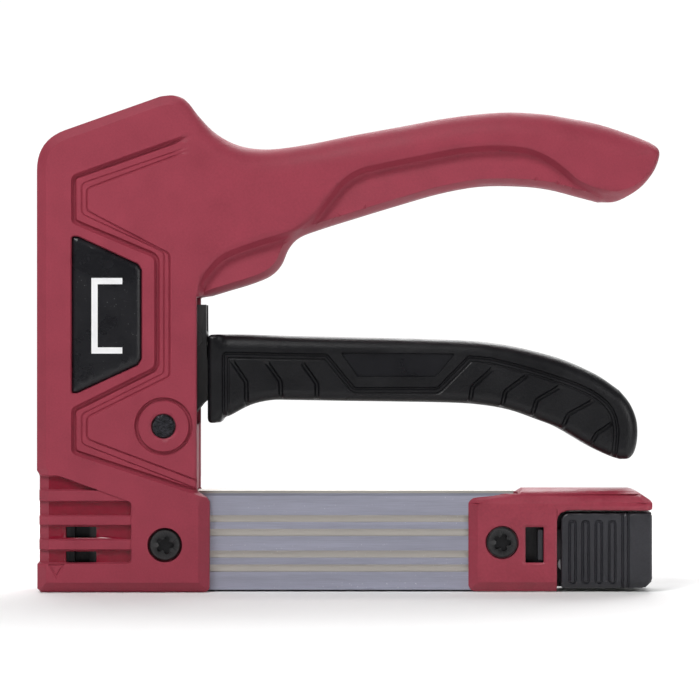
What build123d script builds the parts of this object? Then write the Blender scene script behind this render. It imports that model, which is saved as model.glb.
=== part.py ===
"""Hand staple gun: moulded two-half housing, squeeze lever, sprung hammer and drop-out staple magazine.

Frame: +X runs from the nose to the tail, +Z is up and Y = 0 is the parting plane of the two housing
halves. The nose points to -X and the user's left is -Y. The magazine's feet rest on Z = 0.
All sizes are in millimetres.
"""

from build123d import *
from math import cos, radians, sin
import os

os.makedirs("parts", exist_ok=True)

# ---- driving dimensions: housing -------------------------------------------------------------
wall = 2.4  # moulded wall
body_half = 15.0  # half thickness of the body
handle_half = 12.0  # half thickness of the fixed handle
grip_half = 11.0  # half thickness of the moving lever's grip
front_x = -95.4
body_rear_x = -46.6
foot_rear_x = -42.8
foot_top_z = 31.0
panel_depth = 0.9  # step from the handle's crest down to its grip panel
opening_z = (51.0, 90.0)  # rear opening that the lever works through

# ---- driving dimensions: lever, rocker and hammer --------------------------------------------
lever_x, lever_z = -56.7, 50.5
pivot_pin_r = 3.55
roller_x, roller_z = -47.6, 77.4
roller_r = 4.0
rocker_x, rocker_z = -54.0, 94.0
rocker_pin_r = 2.5
rocker_half_swing = 18.0  # degrees each side of level
hammer_lift = 13.9
rocker_arm = hammer_lift / (2 * sin(radians(rocker_half_swing)))
nose_r = 3.0
pad_gap = 1.85  # rocker's contact pad, behind its pivot
running = 0.05  # radial clearance of a running fit

# ---- driving dimensions: driver and nose ------------------------------------------------------
blade_x = (-90.0, -88.8)
blade_half = 5.3
blade_low_z = 0.5
hammer_x = (-88.6, -70.0)
hammer_z = (38.5, 97.0)
hammer_half = 9.0
spring_x = -79.0
drive_spring_r = 6.6
drive_wire_r = 1.0
seat_z = (134.0, 136.8)

# ---- driving dimensions: magazine -------------------------------------------------------------
channel_x = (-74.0, 50.0)
channel_half = 9.0
channel_z = (0.4, 30.6)
bay_half = 5.6  # inside half width of the staple bay
bay_z = (1.4, 27.4)
rail_half = 4.0
rail_z = (1.6, 14.5)
rail_sheet = 1.2
rod_z = 20.5
rod_r = 1.5
cap_x = (36.2, 92.4)
cap_half = 11.5
cap_top_z = 31.2
cap_roof_x = 51.0  # the cap's roof starts here
cap_side_top_z = 29.8
cutout_x = 63.0
roof_low_z = 24.7
foot_screw = (-56.3, 14.4)
tail_screw = (46.4, 15.0)
latch_front_x = 52.4
spring_end_x = 60.0


def slab(outline, y_low, y_high, mode=Mode.ADD):
    """Extrude an XZ outline between two Y values, inside the open part."""
    with BuildSketch(Plane.XZ.offset(-y_low)) as face:
        add(outline)
    extrude(face.sketch, amount=-(y_high - y_low), mode=mode)


def block(x, y, z, mode=Mode.ADD):
    """Add or cut a box given by its ranges along X, Y and Z, inside the open part."""
    with Locations(((x[0] + x[1]) / 2, (y[0] + y[1]) / 2, (z[0] + z[1]) / 2)):
        Box(x[1] - x[0], y[1] - y[0], z[1] - z[0], mode=mode)


def cross_rod(x, z, radius, y_low, y_high, mode=Mode.ADD):
    """Add or cut a cylinder along Y, inside the open part."""
    with BuildSketch(Plane.XZ.offset(-y_low)) as face:
        with Locations((x, z)):
            Circle(radius)
    extrude(face.sketch, amount=-(y_high - y_low), mode=mode)


def polygon(*points):
    """A closed straight-sided outline as a face in its own plane."""
    with BuildSketch() as face:
        with BuildLine():
            Polyline(*points, close=True)
        make_face()
    return face.sketch


def five_lobe_recess(radius):
    """A five-lobe star recess for a screw head, centred on its plane's origin."""
    with BuildSketch() as star:
        Circle(radius * 0.62)
        with PolarLocations(radius * 0.66, 5):
            Circle(radius * 0.3)
    return star.sketch


# ================================ housing outline ================================
with BuildSketch() as outline:
    with BuildLine():
        # underside of the handle, from the finger guard to the butt of the handle
        Line((body_rear_x, 90.4), (-42.7, 90.4))
        throat = Spline((-42.7, 90.4), (-27.6, 95.2), (-20.3, 101.8), (-15.3, 108.3), (3.1, 114.8),
                        (24.5, 121.3), (46.0, 124.6), (66.0, 122.2), (77.2, 119.1))
        # butt of the handle
        butt = Spline(throat @ 1, (85.8, 120.9), (92.6, 127.6), (94.9, 133.6), (91.0, 137.7),
                      tangents=(throat % 1, (-4.0, 1.6)))
        # back of the handle, up to the brow of the body
        back = Spline(butt @ 1, (70.0, 144.3), (50.0, 146.6), (15.3, 142.3), (-9.2, 137.7),
                      (-24.5, 135.0), (-36.6, 137.4), (-45.6, 143.8), tangents=(butt % 1, (-0.72, 0.7)))
        brow = Spline(back @ 1, (-49.6, 149.6), (-54.6, 151.5), tangents=(back % 1, (-1.0, 0.0)))
        Polyline(brow @ 1, (-57.3, 151.2), (-92.4, 138.8), (front_x, 129.5), (front_x, 1.2),
                        (front_x + 1.2, 0.0), (foot_rear_x - 1.2, 0.0), (foot_rear_x, 1.2),
                        (foot_rear_x, foot_top_z - 3.0), (body_rear_x, foot_top_z),
                        (body_rear_x, 90.4))
    make_face()

# the hollow inside, one wall in from the outline
with BuildSketch() as cavity:
    with BuildLine():
        lower = Spline((-49.0, 93.0), (-32.0, 96.4), (-23.6, 102.3), (-18.0, 110.0), (3.0, 117.3),
                       (24.0, 123.7), (46.0, 127.1), (66.0, 124.8), (77.2, 121.7), (84.2, 123.2),
                       (90.4, 128.8), (92.2, 133.2))
        upper = Spline((90.0, 135.6), (69.4, 141.6), (50.0, 144.1), (15.6, 139.8), (-9.0, 135.2),
                       (-24.5, 132.4), (-37.4, 134.9), (-47.4, 141.6), (-51.2, 147.6))
        Line(lower @ 1, upper @ 0)
        Polyline(upper @ 1, (-57.4, 148.6), (-90.6, 136.9), (front_x + wall, 129.0),
                 (front_x + wall, foot_top_z), (body_rear_x - wall, foot_top_z), lower @ 0)
    make_face()

# the handle's grip panel, recessed below the raised crest, and its bright lower strip
with BuildSketch() as handle_panel:
    with BuildLine():
        crest = Spline((-43.2, 98.1), (-29.7, 106.4), (-15.9, 110.9), (-6.4, 120.7), (3.1, 129.0),
                       (21.1, 132.7), (45.9, 135.8), (60.1, 132.7), (69.0, 125.1), (82.0, 122.1),
                       (97.0, 123.0))
        Polyline(crest @ 1, (97.0, 88.0), (-43.2, 88.0), crest @ 0)
    make_face()

# the thick body, ahead of the handle
with BuildSketch() as body_area:
    with BuildLine():
        shoulder = Spline((-60.0, 152.5), (-30.0, 134.0), (-12.0, 122.0), (-14.0, 110.0), (-30.0, 98.0),
                          (-46.6, 90.4), tangents=((1.0, -0.35), (-1.0, -0.3)))
        Polyline(shoulder @ 1, (-40.0, 90.4), (-40.0, -1.0), (-97.0, -1.0), (-97.0, 152.5), shoulder @ 0)
    make_face()

# the wider bay that the hammer, rocker and lever work in
hammer_bay = polygon((front_x + wall, foot_top_z + 0.3), (front_x + wall, 124.0), (-89.2, 137.1),
                     (-66.0, 137.1), (-66.0, 127.0), (body_rear_x - wall - 0.15, 127.0),
                     (body_rear_x - wall - 0.15, foot_top_z + 0.3))

badge_outline = polygon((-84.2, 61.4), (-84.2, 107.6), (-82.2, 108.2), (-64.6, 99.8), (-63.4, 98.0),
                        (-63.4, 71.2), (-64.6, 69.6), (-82.2, 61.0))
groove_outer = polygon((-86.2, 41.8), (-86.2, 55.2), (-59.8, 68.0), (-59.8, 101.8), (-84.4, 111.6),
                       (-86.0, 113.6), (-86.0, 126.6), (-49.4, 139.8), (-49.4, 30.6))
screw_places = ((-89.8, 118.0), (-53.8, 143.6), (-6.0, 129.4), (46.0, 136.0), (84.0, 131.0), (-52.8, 36.6))
boss_r = 2.95
housing_screw_r = 1.45


def housing_shell():
    """One hollow half of the housing, on the -Y side of the parting plane."""
    with BuildPart() as shell:
        slab(outline.sketch, -handle_half, 0)
        with BuildSketch(Plane.XZ) as body_face:
            add(outline.sketch)
            add(body_area.sketch, mode=Mode.INTERSECT)
        extrude(body_face.sketch, amount=body_half)
        # recessed grip panel of the handle
        slab(handle_panel.sketch, -body_half, -(handle_half - panel_depth), Mode.SUBTRACT)
        # inside: one wall in from the outside
        slab(cavity.sketch, -(handle_half - panel_depth - wall), 0, Mode.SUBTRACT)
        slab(hammer_bay, -(body_half - wall), 0, Mode.SUBTRACT)
        # foot: open below for the nose and the magazine
        block((front_x + wall, channel_x[0]), (-11.2, 0), (-1.0, foot_top_z + 1.0), Mode.SUBTRACT)
        block((channel_x[0] - 0.5, 0), (-(channel_half + running), 0), (-1.0, foot_top_z + 0.5),
              Mode.SUBTRACT)
        # rear opening for the lever
        block((body_rear_x - wall - 1, body_rear_x + 6), (-(body_half - wall), 0), opening_z, Mode.SUBTRACT)
        # bosses for the two cross pins and the housing screws
        cross_rod(lever_x, lever_z, 9.5, -(body_half - wall + 0.2), -8.0)
        cross_rod(rocker_x, rocker_z, 5.0, -(body_half - wall + 0.2), -8.0)
        for x, z in screw_places:
            inner_half = (body_half if x < body_rear_x else handle_half) - wall
            cross_rod(x, z, boss_r, -(inner_half + 0.5), 0)
        cross_rod(rocker_x, rocker_z, rocker_pin_r + running, -(body_half - wall + 0.1), 0, Mode.SUBTRACT)
        # outside: badge recess, decorative groove, lever boss and screw seats
        slab(badge_outline, -body_half, -(body_half - 1.2), Mode.SUBTRACT)
        with BuildSketch(Plane.XZ.offset(body_half)):
            add(groove_outer)
            offset(groove_outer, amount=-0.7, kind=Kind.INTERSECTION, mode=Mode.SUBTRACT)
        extrude(amount=-0.6, mode=Mode.SUBTRACT)
        with BuildSketch(Plane.XZ.offset(body_half)):
            with Locations((lever_x, lever_z)):
                Circle(8.9)
                Circle(7.6, mode=Mode.SUBTRACT)
        extrude(amount=-0.6, mode=Mode.SUBTRACT)
        cross_rod(lever_x, lever_z, pivot_pin_r + running, -body_half, 0, Mode.SUBTRACT)
        cross_rod(foot_screw[0], foot_screw[1], 5.3, -body_half, -(body_half - 2.4), Mode.SUBTRACT)
        cross_rod(foot_screw[0], foot_screw[1], 2.1, -body_half, 0, Mode.SUBTRACT)
        # three vent bars with two windows between them
        for low_z in (9.0, 16.4):
            block((-86.6, -77.2), (-body_half - 1, -8.0), (low_z, low_z + 3.6), Mode.SUBTRACT)
        for low_z in (6.5, 14.0, 21.5, 29.2):
            block((front_x - 1, -68.0), (-body_half - 1, -(body_half - 0.8)), (low_z, low_z + 3.8),
                  Mode.SUBTRACT)
    return shell.part


half_shell = housing_shell()

with BuildPart() as housing_left:
    add(half_shell)
    for x, z in screw_places:
        cross_rod(x, z, housing_screw_r + running, -(handle_half - wall), 0, Mode.SUBTRACT)
housing_left.part.label = "housing_left"

with BuildPart() as housing_right:
    mirror(half_shell, about=Plane.XZ)
    for x, z in screw_places:
        cross_rod(x, z, housing_screw_r + running, 0, body_half + 1, Mode.SUBTRACT)
        cross_rod(x, z, 2.8, handle_half - wall - 0.6, body_half + 1, Mode.SUBTRACT)
housing_right.part.label = "housing_right"

with BuildPart() as housing_screws:
    head_low = handle_half - wall - 0.6
    for x, z in screw_places:
        cross_rod(x, z, housing_screw_r, -(handle_half - wall - 0.6), head_low)
        cross_rod(x, z, 2.7, head_low, head_low + 1.8)
        with BuildSketch(Plane.XZ.offset(-(head_low + 1.8))):
            with Locations((x, z)):
                add(five_lobe_recess(1.5))
        extrude(amount=1.0, mode=Mode.SUBTRACT)
housing_screws.part.label = "housing_screws"


def badge_plate():
    """The plain inlaid side plate, on the -Y side."""
    with BuildPart() as plate:
        with BuildSketch(Plane.XZ.offset(body_half - 1.2)):
            add(badge_outline)
            offset(amount=-0.12, kind=Kind.INTERSECTION)
        extrude(amount=0.9)
        chamfer(plate.faces().sort_by(Axis.Y)[0].edges(), 0.3)
    return plate.part


with BuildPart() as badge_left:
    add(badge_plate())
badge_left.part.label = "badge_left"

with BuildPart() as badge_right:
    mirror(badge_plate(), about=Plane.XZ)
badge_right.part.label = "badge_right"

# ================================ pivots ================================
with BuildPart() as pivot_pin:
    cross_rod(lever_x, lever_z, pivot_pin_r, -(body_half + 0.2), body_half + 0.2)
    chamfer(pivot_pin.edges().filter_by(GeomType.CIRCLE), 0.4)
pivot_pin.part.label = "pivot_pin"

with BuildPart() as pivot_washers:
    for y_low in (-7.85, 7.1):
        cross_rod(lever_x, lever_z, 7.5, y_low, y_low + 0.75)
    cross_rod(lever_x, lever_z, pivot_pin_r + running, -8, 8, Mode.SUBTRACT)
pivot_washers.part.label = "pivot_washers"

with BuildPart() as rocker_pin:
    cross_rod(rocker_x, rocker_z, rocker_pin_r, -(body_half - wall), body_half - wall)
    chamfer(rocker_pin.edges().filter_by(GeomType.CIRCLE), 0.4)
rocker_pin.part.label = "rocker_pin"

with BuildPart() as rocker_spacers:
    for y_low in (-7.9, 3.3):
        cross_rod(rocker_x, rocker_z, 4.2, y_low, y_low + 4.6)
    cross_rod(rocker_x, rocker_z, rocker_pin_r + running, -8, 8, Mode.SUBTRACT)
rocker_spacers.part.label = "rocker_spacers"

# ================================ nose ================================
with BuildPart() as nose_block:
    block((-88.5, channel_x[0] - 0.1), (-11.0, 11.0), (0.4, 30.0))
    block((-89.0, channel_x[0]), (-5.75, 5.75), (0.0, 26.5), Mode.SUBTRACT)
    for side in (-1, 1):
        block((-84.0, -79.5), (side * 9.4 - 1.7, side * 9.4 + 1.7), (5.0, 24.0), Mode.SUBTRACT)
nose_block.part.label = "nose_block"

with BuildPart() as nose_plate:
    block((-92.8, -90.3), (-11.0, 11.0), (0.4, 34.0))
    with BuildSketch(Plane.YZ.offset(-90.3)):
        with Locations((0, 14.0)):
            Rectangle(7.0, 16.0)
    extrude(amount=-1.0, mode=Mode.SUBTRACT)
nose_plate.part.label = "nose_plate"

with BuildPart() as bumper:
    block((-88.3, -70.5), (-9.0, 9.0), (30.8, 38.2))
    chamfer(bumper.edges().filter_by(Axis.Z), 1.0)
bumper.part.label = "bumper"

# ================================ hammer, blade and drive spring ================================
with BuildPart() as hammer:
    block(hammer_x, (-hammer_half, hammer_half), hammer_z)
    nose_z = rocker_z - rocker_arm * sin(radians(rocker_half_swing))
    tip_x = rocker_x - rocker_arm
    slot = polygon((tip_x - nose_r - 0.5, nose_z - nose_r - 0.35), (tip_x + 2.5, nose_z - nose_r - 0.35),
                   (hammer_x[1] + 1, 80.8), (hammer_x[1] + 1, 92.0), (tip_x + 2.5, nose_z + nose_r + 0.4),
                   (tip_x - nose_r - 0.5, nose_z + nose_r + 0.4))
    slab(slot, -3.6, 3.6, Mode.SUBTRACT)
    for side in (-1, 1):
        block((-84.0, -74.5), (side * 7.6 - 1.5, side * 7.6 + 1.5), (46.0, 78.0), Mode.SUBTRACT)
    # spring spigot on top, and the two rivet holes for the blade
    with BuildSketch(Plane.XY.offset(hammer_z[1])):
        with Locations((spring_x, 0)):
            Circle(drive_spring_r - drive_wire_r - 0.5)
    extrude(amount=5.0)
    for z in (52.0, 66.0):
        with BuildSketch(Plane.YZ.offset(hammer_x[0])):
            with Locations((0, z)):
                Circle(1.55)
        extrude(amount=6.0, mode=Mode.SUBTRACT)
hammer.part.label = "hammer"

with BuildPart() as driver_blade:
    block(blade_x, (-blade_half, blade_half), (blade_low_z, 74.0))
    for z in (52.0, 66.0):
        with BuildSketch(Plane.YZ.offset(blade_x[0])):
            with Locations((0, z)):
                Circle(1.55)
        extrude(amount=3.0, mode=Mode.SUBTRACT)
    chamfer(driver_blade.edges().group_by(Axis.Z)[-1].filter_by(Axis.X), 1.5)
driver_blade.part.label = "driver_blade"

with BuildPart() as driver_rivets:
    for z in (52.0, 66.0):
        with BuildSketch(Plane.YZ.offset(-91.2)):
            with Locations((0, z)):
                Circle(2.6)
        extrude(amount=1.15)
        with BuildSketch(Plane.YZ.offset(-91.0)):
            with Locations((0, z)):
                Circle(1.5)
        extrude(amount=8.0)
driver_rivets.part.label = "driver_rivets"


def coil_spring(radius, wire_r, turns, length):
    """A helical compression spring along +Z from its lowest point, as one closed solid."""
    rise = length - 2 * wire_r
    with BuildPart() as spring:
        with BuildLine() as path:
            Helix(pitch=rise / turns, height=rise, radius=radius)
        with BuildSketch(Plane(origin=path.line @ 0, z_dir=path.line % 0)) as section:
            Circle(wire_r)
        sweep(section.sketch, path=path.line, is_frenet=True)
    return spring.part


drive_length = seat_z[0] - hammer_z[1] - 0.4
with BuildPart() as drive_spring:
    coil = coil_spring(drive_spring_r, drive_wire_r, 8, drive_length)
    add(coil.moved(Location((spring_x, 0, hammer_z[1] + 0.2 + drive_wire_r))))
drive_spring.part.label = "drive_spring"

with BuildPart() as spring_seat:
    block((-88.0, -70.0), (-9.0, 9.0), seat_z)
    with BuildSketch(Plane.XY.offset(seat_z[0])):
        with Locations((spring_x, 0)):
            Circle(drive_spring_r - drive_wire_r - 0.5)
    extrude(amount=-4.0)
spring_seat.part.label = "spring_seat"

# ================================ rocker ================================
with BuildPart() as rocker:
    nose_x = rocker_x - rocker_arm * cos(radians(rocker_half_swing))
    cross_rod(rocker_x, rocker_z, 4.6, -3.0, 3.0)
    cross_rod(nose_x, nose_z, nose_r, -3.0, 3.0)
    arm = polygon((rocker_x, rocker_z + 3.2), (nose_x, nose_z + 2.2), (nose_x, nose_z - 2.2),
                  (rocker_x, rocker_z - 5.0))
    slab(arm, -3.0, 3.0)
    leg = polygon((rocker_x - 3.6, rocker_z), (rocker_x + pad_gap, rocker_z), (rocker_x + pad_gap, 73.6),
                  (rocker_x - 1.6, 73.6), (rocker_x - 3.6, 77.0))
    slab(leg, -3.0, 3.0)
    cross_rod(rocker_x, rocker_z, rocker_pin_r + running, -3.0, 3.0, Mode.SUBTRACT)
rocker.part.label = "rocker"

# ================================ lever ================================
frame_half = 7.0
frame_sheet = 2.0
with BuildSketch() as lever_outline:
    with Locations((lever_x, lever_z)):
        Circle(7.4)
    add(polygon((-64.6, 53.4), (-58.0, 72.0), (-53.6, 80.0), (-48.6, 87.6), (-44.0, 87.6), (-43.9, 71.4),
                (48.0, 71.4), (50.0, 69.4), (50.0, 63.4), (48.0, 61.6), (-40.0, 61.6), (-45.0, 57.4),
                (-49.6, 51.8), (-51.5, 45.5)))

with BuildPart() as lever_frame:
    slab(lever_outline.sketch, -frame_half, frame_half)
    hollow = polygon((-80, 30), (-41.0, 30), (-41.0, 63.6), (60.0, 63.6), (60.0, 95), (-80, 95))
    slab(hollow, -(frame_half - frame_sheet), frame_half - frame_sheet, Mode.SUBTRACT)
    cross_rod(lever_x, lever_z, pivot_pin_r + running, -10, 10, Mode.SUBTRACT)
    cross_rod(roller_x, roller_z, 1.6, -10, 10, Mode.SUBTRACT)
    with BuildSketch(Plane.XY.offset(60.0)):
        with Locations((10.0, 0)):
            Circle(2.05)
    extrude(amount=5.0, mode=Mode.SUBTRACT)
lever_frame.part.label = "lever_frame"

with BuildPart() as roller_pin:
    cross_rod(roller_x, roller_z, 1.55, -7.6, 7.6)
    for y_low in (-8.3, 7.6):
        cross_rod(roller_x, roller_z, 2.5, y_low - (0.0 if y_low < 0 else 0.55), y_low + 1.25 - (
            0.0 if y_low < 0 else 0.55))
roller_pin.part.label = "roller_pin"

with BuildPart() as lever_roller:
    cross_rod(roller_x, roller_z, roller_r, -4.6, 4.6)
    cross_rod(roller_x, roller_z, 1.6, -5, 5, Mode.SUBTRACT)
    chamfer(lever_roller.edges().filter_by(GeomType.CIRCLE).filter_by(lambda e: e.radius > 3), 0.4)
lever_roller.part.label = "lever_roller"

with BuildSketch() as grip_outline:
    with BuildLine():
        crown = Spline((-41.4, 78.4), (-15.3, 78.0), (15.3, 77.4), (39.8, 76.1), (64.3, 70.9), (76.5, 65.6),
                       (85.6, 57.6))
        heel = Spline(crown @ 1, (88.0, 51.2), (85.2, 41.4), tangents=(crown % 1, (-1.0, -0.6)))
        sole = Spline(heel @ 1, (76.5, 43.0), (57.9, 51.8), (45.0, 56.2), (33.5, 57.6), (0.0, 58.3),
                      (-19.0, 58.4), (-30.5, 56.9), (-40.9, 51.6), tangents=(heel % 1, (-1.0, -0.75)))
        Polyline(sole @ 1, (-43.5, 54.2), (-43.5, 76.0), crown @ 0)
    make_face()

with BuildPart() as lever_grip:
    slab(grip_outline.sketch, -grip_half, grip_half)
    pocket = polygon((-44.5, 54.0), (-44.0, 55.7), (-40.1, 61.5), (48.1, 61.5), (50.1, 63.3), (50.1, 69.5),
                     (48.1, 71.5), (-43.8, 71.5), (-44.5, 74.0))
    slab(pocket, -(frame_half + running), frame_half + running, Mode.SUBTRACT)
    with BuildSketch(Plane.XY.offset(50.0)):
        with Locations((10.0, 0)):
            Circle(3.8)
    extrude(amount=10.2, mode=Mode.SUBTRACT)
    with BuildSketch(Plane.XY.offset(50.0)):
        with Locations((10.0, 0)):
            Circle(2.1)
    extrude(amount=12.0, mode=Mode.SUBTRACT)
    # finger ribs: shallow bands across both cheeks, parted by slanting notches at the lower edge
    for x in (-31.0, -20.5, -10.0, 37.0, 47.0, 56.5, 65.5):
        low_z = 57.4 - 0.012 * max(0.0, x - 15.0) ** 1.7
        for side in (-1, 1):
            block((x - 0.6, x + 0.6), (side * grip_half - 0.7, side * grip_half + 0.7),
                  (low_z - 6, low_z + 7), Mode.SUBTRACT)
lever_grip.part.label = "lever_grip"

with BuildPart() as grip_screw:
    with BuildSketch(Plane.XY.offset(58.6)):
        with Locations((10.0, 0)):
            Circle(3.5)
    extrude(amount=1.55)
    with BuildSketch(Plane.XY.offset(60.0)):
        with Locations((10.0, 0)):
            Circle(2.0)
    extrude(amount=7.0)
    with BuildSketch(Plane(origin=(10.0, 0, 58.6))):
        add(five_lobe_recess(2.0))
    extrude(amount=1.0, mode=Mode.SUBTRACT)
grip_screw.part.label = "grip_screw"

with BuildPart() as lever_return_spring:
    coil = coil_spring(4.6, 0.55, 5, 7.2)
    add(coil.rotate(Axis.X, 90).moved(Location((lever_x, 3.1, lever_z))))
lever_return_spring.part.label = "lever_return_spring"

# ================================ magazine ================================
with BuildPart() as magazine_channel:
    block(channel_x, (-channel_half, channel_half), channel_z)
    chamfer(magazine_channel.edges().filter_by(Axis.X).group_by(Axis.Z)[-1], 1.5)
    block((-80, 60), (-bay_half, bay_half), bay_z, Mode.SUBTRACT)
    block((-80, 60), (-4.3, 4.3), (0.0, 2.0), Mode.SUBTRACT)
    # flutes along both sides, mirrored about the middle band
    for side in (-1, 1):
        for low_z, high_z, depth in ((5.9, 8.1, 1.1), (8.1, 10.2, 0.5), (10.2, 12.4, 1.1),
                                     (16.8, 19.0, 1.1), (19.0, 21.1, 0.5), (21.1, 23.2, 1.1)):
            block((-80, 60), (side * (channel_half + 1) - 1 - depth, side * (channel_half + 1) + 1 + depth),
                  (low_z, high_z), Mode.SUBTRACT)
    cross_rod(foot_screw[0], foot_screw[1], 2.05, -12, 12, Mode.SUBTRACT)
    cross_rod(tail_screw[0], tail_screw[1], 2.05, -12, 12, Mode.SUBTRACT)
magazine_channel.part.label = "magazine_channel"


def side_screws(x, z, seat_y, head_r):
    """A pair of short star-recess screws, one in from each side."""
    with BuildPart() as screws:
        cross_rod(x, z, head_r, -(seat_y + 2.0), -(seat_y + 0.02))
        chamfer(screws.edges().filter_by(GeomType.CIRCLE).sort_by(Axis.Y)[0], 0.5)
        cross_rod(x, z, 2.0, -(seat_y + 0.5), -(bay_half + 0.1))
        with BuildSketch(Plane.XZ.offset(seat_y + 2.0)):
            with Locations((x, z)):
                add(five_lobe_recess(2.9))
        extrude(amount=-1.3, mode=Mode.SUBTRACT)
        mirror(about=Plane.XZ)
    return screws.part


with BuildPart() as foot_screws:
    add(side_screws(foot_screw[0], foot_screw[1], body_half - 2.4, 4.85))
foot_screws.part.label = "foot_screws"

with BuildPart() as tail_cap:
    block(cap_x, (-cap_half, cap_half), (0.0, cap_top_z))
    chamfer(tail_cap.edges().filter_by(Axis.X), 1.6)
    chamfer(tail_cap.edges().filter_by(Axis.Z).group_by(Axis.X)[0], 1.6)
    # bay for the channel, then a wider bay for the latch, both open below
    block((cap_x[0] - 1, channel_x[1] + 0.1), (-(channel_half + 0.05), channel_half + 0.05), (-1, 30.65),
          Mode.SUBTRACT)
    block((channel_x[1], cap_x[1] + 1), (-9.15, 9.15), (-1, roof_low_z), Mode.SUBTRACT)
    block((cutout_x, cap_x[1] + 1), (-cap_half - 1, cap_half + 1), (-1, roof_low_z), Mode.SUBTRACT)
    # the front stretch of the roof is open, so the channel's top shows there
    block((cap_x[0] - 1, cap_roof_x), (-cap_half - 1, cap_half + 1), (cap_side_top_z, cap_top_z + 1), Mode.SUBTRACT)
    # hook windows, and screw seats
    block((53.5, 59.1), (-cap_half - 1, cap_half + 1), (8.8, 19.7), Mode.SUBTRACT)
    for side in (-1, 1):
        cross_rod(tail_screw[0], tail_screw[1], 5.1, side * cap_half - 1.4, side * cap_half + 1.4,
                  Mode.SUBTRACT)
    cross_rod(tail_screw[0], tail_screw[1], 2.1, -cap_half, cap_half, Mode.SUBTRACT)
tail_cap.part.label = "tail_cap"

with BuildPart() as tail_screws:
    add(side_screws(tail_screw[0], tail_screw[1], cap_half - 1.4, 4.65))
tail_screws.part.label = "tail_screws"

# ================================ magazine core, drawn out to the rear ================================
with BuildPart() as staple_rail:
    block((-88.2, 75.0), (-rail_half, rail_half), rail_z)
    inner = rail_half - rail_sheet
    block((-90, 76), (-inner, inner), (0.0, rail_z[1] - rail_sheet), Mode.SUBTRACT)
    for x in (66.0, 72.0):
        cross_rod(x, 8.0, 1.3, -8, 8, Mode.SUBTRACT)
staple_rail.part.label = "staple_rail"

with BuildPart() as latch_body:
    block((latch_front_x, 92.2), (-5.0, 5.0), (1.1, 24.0))
    block((85.4, 92.2), (-8.4, 8.4), (1.1, 24.0))
    block((latch_front_x - 1, 75.1), (-4.05, 4.05), (0.0, rail_z[1] + 0.1), Mode.SUBTRACT)
    with BuildSketch(Plane.YZ.offset(spring_end_x - 1)):
        with Locations((0, rod_z)):
            Circle(rod_r + 0.02)
    extrude(amount=12.0, mode=Mode.SUBTRACT)
    # open slot round the end of the pusher's spring
    block((latch_front_x - 1, spring_end_x), (-3.4, 3.4), (rod_z - 3.3, 25.0), Mode.SUBTRACT)
    for x in (66.0, 72.0):
        cross_rod(x, 8.0, 1.3, -8, 8, Mode.SUBTRACT)
    chamfer(latch_body.edges().filter_by(Axis.Y).group_by(Axis.X)[-1].group_by(Axis.Z)[0], 1.8)
latch_body.part.label = "latch_body"

with BuildPart() as rail_rivets:
    for x in (66.0, 72.0):
        cross_rod(x, 8.0, 1.25, -5.4, 5.4)
        for side in (-1, 1):
            cross_rod(x, 8.0, 2.2, side * 5.35 - 0.3, side * 5.35 + 0.3)
rail_rivets.part.label = "rail_rivets"

with BuildPart() as pusher_rod:
    with BuildSketch(Plane.YZ.offset(-83.6)):
        with Locations((0, rod_z)):
            Circle(rod_r)
    extrude(amount=70.0 + 83.6)
pusher_rod.part.label = "pusher_rod"

with BuildPart() as rod_stop:
    with BuildSketch(Plane.YZ.offset(-84.4)):
        with Locations((0, rod_z)):
            Circle(3.0)
    extrude(amount=2.4)
    with BuildSketch(Plane.YZ.offset(-83.65)):
        with Locations((0, rod_z)):
            Circle(rod_r + 0.02)
    extrude(amount=4.0, mode=Mode.SUBTRACT)
rod_stop.part.label = "rod_stop"

pusher_rear_x = -66.0
with BuildPart() as pusher:
    block((-87.6, pusher_rear_x), (-5.2, 5.2), (2.2, 16.4))
    block((-81.0, pusher_rear_x), (-5.2, 5.2), (16.0, 24.6))
    block((-90, pusher_rear_x + 1), (-(rail_half + 0.35), rail_half + 0.35), (0, rail_z[1] + 0.35),
          Mode.SUBTRACT)
    with BuildSketch(Plane.YZ.offset(-90)):
        with Locations((0, rod_z)):
            Circle(rod_r + running)
    extrude(amount=30, mode=Mode.SUBTRACT)
pusher.part.label = "pusher"

pusher_spring_length = spring_end_x - pusher_rear_x - 0.6
with BuildPart() as pusher_spring:
    coil = coil_spring(2.6, 0.3, 42, pusher_spring_length)
    add(coil.rotate(Axis.Y, 90).moved(Location((pusher_rear_x + 0.6, 0, rod_z))))
pusher_spring.part.label = "pusher_spring"


def latch_arm():
    """One squeezable side plate of the magazine latch, on the -Y side."""
    with BuildPart() as arm_plate:
        block((64.4, 92.2), (-11.3, -8.9), (1.0, 23.8))
        corners = arm_plate.edges().filter_by(Axis.Y)
        fillet(corners.group_by(Axis.X)[0].group_by(Axis.Z)[-1], 2.3)
        chamfer(arm_plate.edges().filter_by(Axis.Y).group_by(Axis.X)[-1].group_by(Axis.Z)[0], 2.2)
        # grip grooves
        for x in (66.8, 70.7, 74.8, 78.9):
            block((x, x + 1.9), (-12.0, -10.6), (3.0, 21.4), Mode.SUBTRACT)
        block((83.0, 84.9), (-12.0, -10.3), (0.0, 25.0), Mode.SUBTRACT)
        # tongue and hook that catch the tail cap's window
        block((57.2, 72.0), (-8.9, -7.2), (9.6, 18.9))
        block((57.2, 58.9), (-10.9, -7.2), (9.6, 18.9))
    return arm_plate.part


with BuildPart() as latch_arm_left:
    add(latch_arm())
latch_arm_left.part.label = "latch_arm_left"

with BuildPart() as latch_arm_right:
    mirror(latch_arm(), about=Plane.XZ)
latch_arm_right.part.label = "latch_arm_right"

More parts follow.
